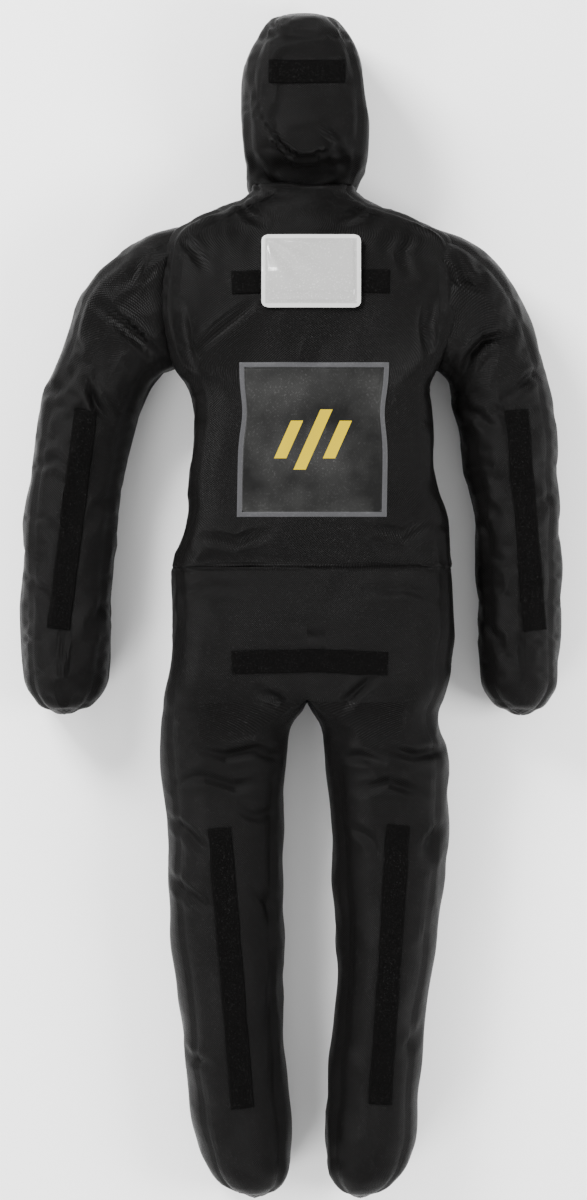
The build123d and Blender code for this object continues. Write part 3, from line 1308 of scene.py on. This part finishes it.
def trouser_rows(side: Side) -> np.ndarray:
    """One half of the trousers, from the waist seam down to the foot.

    Args:
        side: Which half.

    Returns:
        Control rows of its tube.
    """
    sections = (
        (37.8, 120, 0.02, 34, 1), (18, 124, 0.02, 36, 1), (-4, 128, 0.02, 38, 1),
        (-30, 129, 0.02, 38, 1), (-55, 128, 0.02, 38, 1), (-78, 126, 0.05, 38, 1),
        (-97, 122, 2, 38, 1), (-110, 118, 12, 39, 0.8), (-122, 115, 22, 40, 0.5),
        (-136, 112, 34, 42, 0.2), (-158, 109, 42, 44, 0), (-190, 107, 44, 46, 0),
        (-225, 106, 46, 46, 0), (-265, 106, 46, 46, 0), (-310, 105, 46, 46, 0),
        (-350, 105, 46, 46, 0), (-395, 104, 46, 46, 0), (-436, 103, 46, 46, 0),
        (-480, 102, 45, 45, 0), (-522, 101, 44, 44, 0), (-552, 100, 44, 44, 0),
        (-578, 99, 42, 42, 0), (-596, 97, 40, 40, 0),
    )
    edges = {
        Side.RIGHT: (
            (MIDDLE, -128.4), (MIDDLE, -129), (MIDDLE, -128), (MIDDLE, -128),
            (MIDDLE, -131), (MIDDLE, -134), (16.2, -137), (11, -138),
            (2, -140), (-4, -141), (-7, -141), (-8, -139),
            (-9, -135), (-9, -134), (-10, -132), (-10, -130),
            (-9, -125), (-9, -120), (-7, -115), (-4, -111),
            (-1, -107), (0, -102), (-1, -97),
        ),
        Side.LEFT: (
            (MIDDLE, 172), (MIDDLE, 173), (MIDDLE, 174.5), (MIDDLE, 175),
            (MIDDLE, 172), (MIDDLE, 170), (16.8, 164), (23, 159),
            (31, 158.5), (35, 162), (36, 169), (38, 171),
            (42, 170), (45, 168), (46.5, 163), (48, 158),
            (49, 153), (46, 146), (42, 142), (39, 138),
            (37, 136.5), (36.5, 134), (38, 129),
        ),
    }[side]
    return rows(
        *[(a, y, b, y, 0, hi, ri, ro, h) for (y, hi, ri, ro, h), (a, b) in zip(sections, edges)]
    )


def arm_rows(side: Side) -> np.ndarray:
    """Sleeve from inside the armhole, round the shoulder, to the hand.

    Args:
        side: Which arm.

    Returns:
        Control rows of its tube.
    """
    sections = (
        (6, 98, 26), (4, 108, 30), (2, 114, 35), (1, 110, 38), (0, 105, 40), (0, 99, 42),
        (0, 95, 42), (0, 93, 42), (0, 92, 42), (0, 91, 42), (0, 90, 42), (0, 90, 41),
        (0, 89, 41), (0, 88, 40), (0, 87, 39), (0, 85, 38),
    )
    edges = {
        Side.RIGHT: (
            (-112, 264, -106, 410), (-126, 258, -129, 407), (-137, 253, -160, 395),
            (-144, 247, -192, 377), (-150, 240, -216, 354), (-155, 232, -234, 326),
            (-160, 223, -246, 294), (-165, 211, -258, 258), (-171, 196, -270, 220),
            (-177, 172, -279, 180), (-183, 130, -286, 130), (-188, 83, -290, 83),
            (-192, 39, -291, 39), (-195, -4, -292, -4), (-197, -46, -292, -46),
            (-200, -74, -290, -74),
        ),
        Side.LEFT: (
            (140, 264, 132, 412), (155, 258, 155, 407), (163, 253, 184, 395),
            (169, 247, 212, 376), (173, 239, 235, 352), (176, 230, 252, 324),
            (177, 219, 264, 293), (179, 207, 274, 258), (181, 193, 282, 221),
            (186, 170, 287, 180), (194, 126, 289.5, 126), (200, 82, 290.5, 82),
            (202, 36, 291.5, 36), (203, -10, 291.5, -10), (204, -50, 291, -50),
            (206, -74, 290, -74),
        ),
    }[side]
    return rows(*[(*edge, lo, hi, r, r, 0) for edge, (lo, hi, r) in zip(edges, sections)])


def torso_folds() -> tuple[Fold, ...]:
    """Creases of the torso.

    Returns:
        The creases.
    """
    return (
        Fold(((-120, 322), (-116, 286), (-109, 252)), 5, 3.2),
        Fold(((-45, 322), (-68, 303), (-95, 281)), 5, 2.2),
        Fold(((-119, 395), (-104, 384), (-92, 362)), 5, 2.0),
        Fold(((150, 330), (146, 300), (150, 262)), 5, 2.6),
        Fold(((128, 402), (118, 380), (126, 356)), 5, 1.8),
        Fold(((-97, 75), (-60, 66), (-28, 78)), 5, 1.8),
        Fold(((150, 92), (120, 74), (76, 82)), 5, 2.0),
        Fold(((-60, 440), (-48, 424), (-30, 414)), 5, 2.2),
        Fold(((88, 436), (72, 422), (54, 414)), 5, 2.0),
    )


def head_folds() -> tuple[Fold, ...]:
    """Darts, the chin seam and the creases of the head.

    Returns:
        The creases.
    """
    face = (
        (-16, 614), (-31, 599), (-39, 583), (-41, 562), (-40, 541), (-37, 527), (-31, 514),
        (-20, 499), (-9, 488), (0, 481), (9, 478), (21, 478), (33, 481), (47, 488),
    )
    return (
        Fold(((-24, 630), (-19, 620), (-16, 610)), 3, 3.4, 0.7),
        Fold(((52, 630), (56, 614), (63, 596)), 3, 3.4, 0.7),
        Fold(face, 2.4, 2.8, 0.7),
        Fold(((31, 511), (46, 493), (59, 470)), 5, 3.0, 0.7),
        Fold(((-40, 480), (-30, 463), (-16, 446)), 5, 3.6, 0.7),
        Fold(((62, 464), (46, 450), (18, 444), (-4, 449)), 4, 2.2),
        Fold(((58, 600), (64, 575), (62, 548)), 5, 1.4),
    )


def trouser_folds() -> tuple[Fold, ...]:
    """Creases of the pelvis and legs.

    Returns:
        The creases.
    """
    return (
        Fold(((4, -15), (20, -27), (38, -43)), 4, 1.8),
        Fold(((-39, -89), (-18, -97), (2, -112)), 5, 3.0),
        Fold(((90, -75), (74, -87), (54, -107)), 5, 3.0),
        Fold(((-118, 12), (-84, 22), (-46, 18)), 5, 1.6),
        Fold(((160, 8), (120, 20), (80, 16)), 5, 1.6),
        Fold(((-101, -152), (-70, -160), (-38, -154), (-14, -163)), 5, 3.4),
        Fold(((-130, -190), (-98, -181), (-60, -192), (-24, -186)), 5, 2.8),
        Fold(((-136, -226), (-112, -241), (-92, -262)), 5, 2.6),
        Fold(((-62, -214), (-40, -226), (-19, -220)), 5, 2.2),
        Fold(((-134, -285), (-116, -304), (-92, -322)), 5, 2.4),
        Fold(((-40, -300), (-24, -318), (-16, -340)), 5, 1.8),
        Fold(((101, -150), (132, -160), (167, -153)), 5, 3.0),
        Fold(((52, -164), (74, -160), (96, -166)), 5, 3.0),
        Fold(((74, -196), (104, -188), (143, -201)), 5, 2.8),
        Fold(((62, -236), (84, -248), (92, -270)), 5, 2.0),
        Fold(((164, -232), (150, -252), (146, -276)), 5, 2.2),
        Fold(((-122, -470), (-108, -486), (-86, -492)), 5, 1.8),
        Fold(((146, -446), (134, -466), (122, -482)), 5, 1.8),
    )


def right_arm_folds() -> tuple[Fold, ...]:
    """Creases of the right sleeve.

    Returns:
        The creases.
    """
    return (
        Fold(((-137, 262), (-168, 290), (-207, 322)), 5, 3.6),
        Fold(((-220, 240), (-210, 218), (-197, 200)), 5, 3.4),
        Fold(((-160, 378), (-172, 352), (-196, 338)), 5, 2.4),
        Fold(((-268, 226), (-246, 238), (-232, 262)), 5, 2.4),
        Fold(((-274, 150), (-254, 160), (-240, 150)), 5, 1.6),
        Fold(((-192, 120), (-208, 106), (-214, 86)), 5, 1.6),
        Fold(((-282, 30), (-268, 14), (-262, -10)), 5, 1.6),
        Fold(((-198, 6), (-212, -12), (-216, -34)), 5, 1.6),
    )


def left_arm_folds() -> tuple[Fold, ...]:
    """Creases of the left sleeve.

    Returns:
        The creases.
    """
    return (
        Fold(((230, 292), (206, 284), (192, 268), (184, 245)), 5, 3.8),
        Fold(((176, 372), (188, 350), (210, 340)), 5, 2.2),
        Fold(((276, 258), (256, 246), (238, 228)), 5, 2.8),
        Fold(((182, 216), (200, 206), (212, 190)), 5, 2.2),
        Fold(((284, 122), (268, 112), (258, 92)), 5, 1.6),
        Fold(((200, 96), (212, 78), (214, 56)), 5, 1.6),
        Fold(((208, -16), (222, -34), (226, -52)), 5, 1.6),
    )


@dataclass
class Cover:
    """Sewn cover of one segment: front panel, gusset and back panel.

    Args:
        name: Segment name in the record.
        segments: The grids it is cut from.
        first: First station of each grid.
        last: Last station of each grid, None for the end.
        bend: Joint it belongs to; its hold bakes the pieces' transforms.
        shop: Materials.
        also: Record nodes its pieces stand for besides their own.
    """

    name: str
    segments: list[Segment]
    first: list[int]
    last: list[int | None]
    bend: Bend
    shop: Shop
    also: dict[str, str] = field(default_factory=dict)

    def build(self) -> bpy.types.Object:
        """Cut the three panels.

        Returns:
            The front panel, for pieces that lie on it.
        """
        fronts, sides, backs = [], [], []
        for segment, first, last in zip(self.segments, self.first, self.last):
            tube = segment.tube
            _, s1, s2, s3, s4 = tube.seams
            end = len(tube.stations) - 1
            stop = last if last is not None else (end if tube.lip_end else tube.end_seam)
            fronts.append(Span(segment, first, stop, 0, s1))
            sides.append(Span(segment, first, stop, s1, s2))
            sides.append(Span(segment, first, stop, s3, s4))
            backs.append(Span(segment, first, stop, s2, s3))
            if last is None and not tube.lip_end:
                sides.append(Span(segment, stop, end, 0, s4))
        made = None
        for part, spans in ((Panel.FRONT, fronts), (Panel.GUSSET, sides), (Panel.BACK, backs)):
            node = f"{self.name}_{part.value}"
            finish = self.shop.get(GUSSET if part is Panel.GUSSET else CLOTH)
            obj = panel(f"sewn_{node}", spans, finish)
            nodes = [node]
            if part.value in self.also:
                nodes.append(self.also[part.value])
            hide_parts(*nodes)
            self.bend.hold(obj)
            made = made or obj
            LOG.info("%s: %d quads", obj.name, len(obj.data.polygons))
        return made


@dataclass
class Stuffing:
    """Filling of one segment.

    Args:
        name: Segment name in the record.
        segments: The grids it follows.
        first: First station of each grid.
        last: Last station of each grid, None for the end.
        bend: Joint it belongs to; its hold bakes the block's transform.
        shop: Materials.
        also: Record nodes it stands for besides its own.
    """

    name: str
    segments: list[Segment]
    first: list[int]
    last: list[int | None]
    bend: Bend
    shop: Shop
    also: tuple[str, ...] = ()

    def build(self) -> None:
        """Make the block."""
        spans = []
        for segment, first, last in zip(self.segments, self.first, self.last):
            tube = segment.tube
            start = max(first, tube.near_count)
            stop = last if last is not None else len(tube.stations) - 8
            spans.append(Span(segment, start, stop, 0, 0))
        obj = filling(f"stuffed_{self.name}_filling", spans, self.shop.get(STUFFING), FILLING_DEPTH)
        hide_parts(f"{self.name}_filling", *self.also)
        self.bend.hold(obj)
        LOG.info("%s: %d quads", obj.name, len(obj.data.polygons))


@dataclass
class Tape:
    """Loop tape sewn flat on a front panel.

    Args:
        node: Record node it stands for.
        line: Plan points of its middle in millimetres.
        shop: Materials.
        body: Body it rides, if it lies outside any bend.
        bend: Joint it belongs to otherwise; its hold bakes the tape's transform.
        width: Width in millimetres.
        thick: Thickness in millimetres.
    """

    node: str
    line: tuple[tuple[float, float], ...]
    shop: Shop
    body: str | None = None
    bend: Bend | None = None
    width: float = 25.0
    thick: float = 2.2

    def build(self, ground: Ground) -> None:
        """Lay it on the panel.

        Args:
            ground: The surface under it.
        """
        plan = ribbon(self.line, self.width)
        plan = plan + 0.0004 * ripple(np.dstack([plan, plan[..., :1] * 0]), 0.05, 3)[..., None]
        base = ground.height(plan, 4)
        obj = slab(f"sewn_{self.node}", plan, base, self.thick, 1.6, self.shop.get(LOOP))
        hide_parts(self.node)
        if self.body:
            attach(obj, self.body)
        else:
            self.bend.hold(obj)
        LOG.info("%s: %d quads", obj.name, len(obj.data.polygons))


@dataclass
class PrintPanel:
    """Square print on the belly: a grey frame line round a dark field with plain bars.

    Args:
        centre: Middle in millimetres.
        size: Outer size in millimetres.
        line: Width of the frame line in millimetres.
        shop: Materials.
    """

    centre: tuple[float, float]
    size: tuple[float, float]
    line: float
    shop: Shop

    def build(self, ground: Ground) -> None:
        """Lay the frame and the field on the panel.

        Args:
            ground: The surface under them.
        """
        inner = (self.size[0] - 2 * self.line, self.size[1] - 2 * self.line)
        plan = self._pinch(round_rect(self.centre, inner, 2.0, (54, 56)))
        base = ground.height(plan, 1)
        field_obj = slab("printed_field", plan, base, 0.5, 0.6, self._field_material(), 0.2)
        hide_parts("print_field")
        WAIST.hold(field_obj)
        LOG.info("%s: %d quads", field_obj.name, len(field_obj.data.polygons))
        frame_obj = self._frame(ground)
        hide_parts("print_frame")
        WAIST.hold(frame_obj)
        LOG.info("%s: %d quads", frame_obj.name, len(frame_obj.data.polygons))

    def _pinch(self, plan: np.ndarray) -> np.ndarray:
        """Draw the sides in a little above the middle, as the cover's creases do.

        Args:
            plan: Plan positions in metres.

        Returns:
            The positions, moved.
        """
        y = plan[..., 1] / MM
        x = plan[..., 0] / MM - self.centre[0]
        pull = 4.0 * np.exp(-(((y - 207) / 26) ** 2)) * (np.abs(x) / (self.size[0] / 2)) ** 2
        out = plan.copy()
        out[..., 0] += (1.3 * (y - self.centre[1]) / 82 - np.sign(x) * pull) * MM
        return out

    def _frame(self, ground: Ground) -> bpy.types.Object:
        """Closed ring of line width, swept round the square.

        Args:
            ground: The surface under it.

        Returns:
            The mesh object.
        """
        w, h = self.size[0] / 2 - self.line / 2, self.size[1] / 2 - self.line / 2
        steps = 46
        corners = ((-w, -h), (w, -h), (w, h), (-w, h))
        offsets = np.array([-1, -0.93, -0.5, 0, 0.5, 0.93, 1]) * self.line / 2
        rings = []
        for off in offsets:
            ring = []
            for (x0, y0), (x1, y1) in zip(corners, corners[1:] + corners[:1]):
                a = np.array([x0 + off * np.sign(x0), y0 + off * np.sign(y0)])
                b = np.array([x1 + off * np.sign(x1), y1 + off * np.sign(y1)])
                for i in range(steps):
                    ring.append(a + (b - a) * i / steps)
            rings.append(ring)
        plan = np.array(rings).transpose(1, 0, 2) + np.array(self.centre)
        plan = self._pinch(plan * MM)
        base = ground.height(np.concatenate([plan, plan[:1]]), 1)[:-1]
        profile = np.array([0.15, 0.85, 1, 1, 1, 0.85, 0.15]) * 0.7 * MM
        top = np.concatenate([plan, (base + profile)[..., None]], axis=-1)
        low = np.concatenate([plan, (base - 0.2 * MM)[..., None]], axis=-1)[:, ::-1]
        ring = np.concatenate([top, low], axis=1)
        count, cols = ring.shape[:2]
        a = np.arange(count)[:, None] * cols + np.arange(cols)[None, :]
        b = np.arange(count)[:, None] * cols + (np.arange(cols) + 1)[None, :] % cols
        c = ((np.arange(count) + 1) % count)[:, None] * cols + np.arange(cols)[None, :]
        d = ((np.arange(count) + 1) % count)[:, None] * cols + ((np.arange(cols) + 1) % cols)[None, :]
        quads = np.stack([a, b, d, c], axis=-1).reshape(-1, 4)
        verts = ring.reshape(-1, 3)
        one = verts[quads[2, 2]] - verts[quads[2, 0]]
        two = verts[quads[2, 3]] - verts[quads[2, 1]]
        if np.cross(one, two)[2] < 0:
            quads = quads[:, ::-1].copy()
        obj = build_mesh("printed_frame", verts, quads)
        give_uv(obj, verts[:, :2])
        obj.data.materials.append(self.shop.get(FRAME_INK))
        return obj

    def _field_material(self) -> bpy.types.Material:
        """Dark print with three plain slanting bars, drawn by the cloth UV.

        Returns:
            The material.
        """
        mat = self.shop.get(FIELD_INK).copy()
        mat.name = "dark print with bars"
        tree = mat.node_tree
        place = cloth_uv(tree)
        x = math_node(tree, "SUBTRACT", place[0], self.centre[0] * MM)
        y = math_node(tree, "SUBTRACT", place[1], self.centre[1] * MM)
        slant = math_node(tree, "SUBTRACT", x, math_node(tree, "MULTIPLY", y, 0.45))
        mask = None
        for offset, height in ((-0.026, 0.02), (0.0, 0.032), (0.026, 0.02)):
            off = math_node(tree, "ABSOLUTE", math_node(tree, "SUBTRACT", slant, offset))
            wide = math_node(tree, "LESS_THAN", off, 0.0065)
            tall = math_node(tree, "LESS_THAN", math_node(tree, "ABSOLUTE", y), height)
            bar = math_node(tree, "MULTIPLY", wide, tall)
            mask = bar if mask is None else math_node(tree, "MAXIMUM", mask, bar)
        lay_over(mat, BAR_INK.color, mask)
        return mat


@dataclass
class CardPocket:
    """Clear pocket held on the chest tape by a hook strip.

    Args:
        centre: Middle in millimetres.
        size: Width and height in millimetres.
        shop: Materials.
    """

    centre: tuple[float, float]
    size: tuple[float, float]
    shop: Shop

    def build(self, ground: Ground) -> None:
        """Lay the hook strip, back sheet, card and front sheet in turn.

        Args:
            ground: The surface under them, tape included.
        """
        w, h = self.size
        level = ground.height(round_rect(self.centre, self.size, 7.0, (8, 8)), 2).max()
        layers = (
            ("pocket_hook_strip", (w - 10, 22), 1.0, 0.0, 1.4, HOOK, "loop_tape", 0.4),
            ("pocket_back_sheet", (w, h), 7.0, 1.5, 0.7, SHEET, "pocket_vinyl", 0.8),
            ("pocket_card", (w - 14, h - 14), 2.0, 2.6, 0.5, CARD, "card", 0.4),
            ("pocket_front_sheet", (w, h), 7.0, 3.4, 0.8, VINYL, "pocket_vinyl", 1.0),
        )
        for node, size, corner, up, thick, finish, slot_name, edge in layers:
            centre = self.centre
            if node == "pocket_hook_strip":
                centre = (self.centre[0], 347.0)
            plan = round_rect(centre, size, corner, (60, 46))
            base = ground.height(plan, 12)
            base = 0.5 * base + 0.5 * (level - 0.0025) + up * MM
            if node == "pocket_front_sheet":
                base = base + self._wrinkles(plan)
            mat = self._sheet_material() if node == "pocket_front_sheet" else self.shop.get(finish)
            obj = slab(f"{node}_laid", plan, base, thick, edge, mat, 0.0)
            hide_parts(node)
            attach(obj, "card_pocket")
            LOG.info("%s: %d quads", obj.name, len(obj.data.polygons))

    def _sheet_material(self) -> bpy.types.Material:
        """Milky vinyl, whiter along its welded border.

        Returns:
            The material.
        """
        mat = self.shop.get(VINYL).copy()
        mat.name = "clear vinyl with welded border"
        tree = mat.node_tree
        place = cloth_uv(tree)
        rims = []
        for axis in range(2):
            off = math_node(tree, "SUBTRACT", place[axis], self.centre[axis] * MM)
            reach = (self.size[axis] / 2 - 4.2) * MM
            rims.append(math_node(tree, "GREATER_THAN", math_node(tree, "ABSOLUTE", off), reach))
        lay_over(mat, (0.42, 0.418, 0.41), math_node(tree, "MAXIMUM", *rims))
        return mat

    def _wrinkles(self, plan: np.ndarray) -> np.ndarray:
        """Welded rim, a bulge over the card and wrinkles fanning from a corner.

        Args:
            plan: Plan positions in metres.

        Returns:
            Height they add, in metres.
        """
        x = (plan[..., 0] / MM - self.centre[0]) / (self.size[0] / 2)
        y = (plan[..., 1] / MM - self.centre[1]) / (self.size[1] / 2)
        rim = np.minimum((1 - np.abs(x)) * self.size[0] / 2, (1 - np.abs(y)) * self.size[1] / 2)
        inside = smooth((rim - 5.5) / 3.0)
        swell = 1.7 * inside * (1 - 0.5 * x * x) * (1 - 0.5 * y * y)
        groove = -0.5 * np.exp(-(((rim - 5.8) / 0.9) ** 2))
        angle = np.arctan2(y - 1.1, x + 1.1)
        away = np.hypot(x + 1.1, y - 1.1)
        fan = 1.15 * np.sin(angle * 15) * np.exp(-(((away - 1.1) / 0.8) ** 2)) * inside
        return (swell + groove + fan) * MM


class Studio:
    """Pale floor, soft lights and the camera above."""

    def build(self) -> None:
        """Place them."""
        mesh = bpy.data.meshes.new("floor")
        r = 6.0
        mesh.from_pydata([(-r, -r, 0), (r, -r, 0), (r, r, 0), (-r, r, 0)], [], [(0, 1, 2, 3)])
        floor = bpy.data.objects.new("floor", mesh)
        bpy.context.scene.collection.objects.link(floor)
        floor.location.z = -0.0015
        mat = bpy.data.materials.new("floor")
        mat.use_nodes = True
        bsdf = mat.node_tree.nodes["Principled BSDF"]
        bsdf.inputs["Base Color"].default_value = (0.93, 0.93, 0.93, 1)
        bsdf.inputs["Roughness"].default_value = 0.9
        floor.data.materials.append(mat)
        world = bpy.context.scene.world or bpy.data.worlds.new("world")
        bpy.context.scene.world = world
        world.use_nodes = True
        world.node_tree.nodes["Background"].inputs["Color"].default_value = (1, 1, 1, 1)
        world.node_tree.nodes["Background"].inputs["Strength"].default_value = 1.15
        self._light("key", (-1.5, 1.9, 1.7), 1.0, 190.0)
        self._light("fill", (2.0, -0.4, 1.7), 1.2, 95.0)
        self._light("low", (-1.4, -2.0, 1.6), 1.2, 80.0)
        data = bpy.data.cameras.new("camera")
        data.lens = 120.0
        data.sensor_fit = "VERTICAL"
        data.sensor_height = 36.0
        away = VIEW_HEIGHT * data.lens / data.sensor_height + VIEW_LEVEL
        data.clip_end = 50.0
        camera = bpy.data.objects.new("camera", data)
        bpy.context.scene.collection.objects.link(camera)
        camera.location = (0.0022, 0.0070, away)
        bpy.context.scene.camera = camera

    @staticmethod
    def _light(name: str, place: tuple[float, float, float], size: float, power: float) -> None:
        """Square area light aimed at the middle of the dummy.

        Args:
            name: Its name.
            place: Where it hangs, in metres.
            size: Length of its side in metres.
            power: Its power in watts.
        """
        data = bpy.data.lights.new(name, "AREA")
        data.shape = "SQUARE"
        data.size = size
        data.energy = power
        light = bpy.data.objects.new(name, data)
        bpy.context.scene.collection.objects.link(light)
        light.location = place
        light.rotation_euler = (-Vector(place)).to_track_quat("-Z", "Y").to_euler()


def main() -> None:
    """Build every piece and log it."""
    logging.basicConfig(level=logging.INFO, format="%(name)s %(message)s")
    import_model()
    shop = Shop()
    head = Segment(
        Tube("head", head_rows(), (28, 15, 40), (-0.02, 1.0), cell=0.0022, front_cells=64),
        head_folds(), lumps=1.8, crumple=0.6, seed=3, fold_share=0.6,
    )
    torso = Segment(
        Tube("torso", torso_rows(), (8, 6, 12), (0, 1), lip_end=True, front_cells=72),
        torso_folds(), lumps=2.2, crumple=0.8, seed=5,
    )
    right, left = (
        Segment(
            Tube(f"{side.word}_half", trouser_rows(side), (43.5, 41, 40), way, front_cells=40),
            trouser_folds(), lumps=2.0, crumple=0.8, seed=9,
        )
        for side, way in ((Side.RIGHT, (0.1, -0.995)), (Side.LEFT, (-0.12, -0.99)))
    )
    right_arm, left_arm = (
        Segment(
            Tube(f"{side.word}_arm", arm_rows(side), (43, 40, 34), (0, -1), front_cells=32),
            folds, lumps=1.8, crumple=0.7, seed=seed,
        )
        for side, folds, seed in (
            (Side.RIGHT, right_arm_folds(), 13), (Side.LEFT, left_arm_folds(), 17)
        )
    )
    for segment in (head, torso, right, left, right_arm, left_arm):
        segment.shape()
        segment.relax()
    cut_r, cut_l = right.split(HIP_TOP), left.split(HIP_TOP)
    layout = (
        ("head", [head], [0], [None], NECK, None),
        ("torso", [torso], [0], [None], WAIST, None),
        ("pelvis", [right, left], [0, 0], [cut_r, cut_l], WAIST, None),
        ("right_leg", [right], [cut_r], [None], RIGHT_HIP, None),
        ("left_leg", [left], [cut_l], [None], LEFT_HIP, None),
        ("right_arm", [right_arm], [0], [None], RIGHT_SHOULDER, "right"),
        ("left_arm", [left_arm], [0], [None], LEFT_SHOULDER, "left"),
    )
    fronts = []
    for name, segments, first, last, bend, cap in layout:
        also = {"front_panel": f"{cap}_shoulder_cover"} if cap else {}
        fronts.append(Cover(name, segments, first, last, bend, shop, also).build())
        more = (f"{cap}_shoulder_filling",) if cap else ()
        Stuffing(name, segments, first, last, bend, shop, more).build()
    ground = Ground(fronts)
    tapes = (
        Tape("forehead_strip", ((-24.5, 570.5), (57.5, 571)), shop, "head"),
        Tape("chest_strip", ((-63.5, 346), (20, 348), (104.5, 347)), shop, "torso"),
        Tape("pelvis_strip", ((-63.5, -60), (20, -57.5), (102.5, -61)), shop, "pelvis"),
        Tape("right_arm_strip", ((-220.5, 211), (-236, 90), (-251, -24)), shop, None, RIGHT_SHOULDER),
        Tape("left_arm_strip", ((242, 211), (252.5, 90), (262.5, -26)), shop, None, LEFT_SHOULDER),
        Tape("right_leg_strip", ((-77, -237), (-64, -390), (-52, -538)), shop, "right_leg"),
        Tape("left_leg_strip", ((114.5, -234), (105, -385), (95, -534)), shop, "left_leg"),
    )
    for tape in tapes:
        tape.build(ground)
    PrintPanel((23, 178), (160, 165), 5.5, shop).build(ground)
    chest = bpy.data.objects["sewn_chest_strip"]
    CardPocket((21, 358), (106, 78.5), shop).build(Ground([*fronts, chest]))
    Studio().build()


if __name__ == "__main__":
    main()
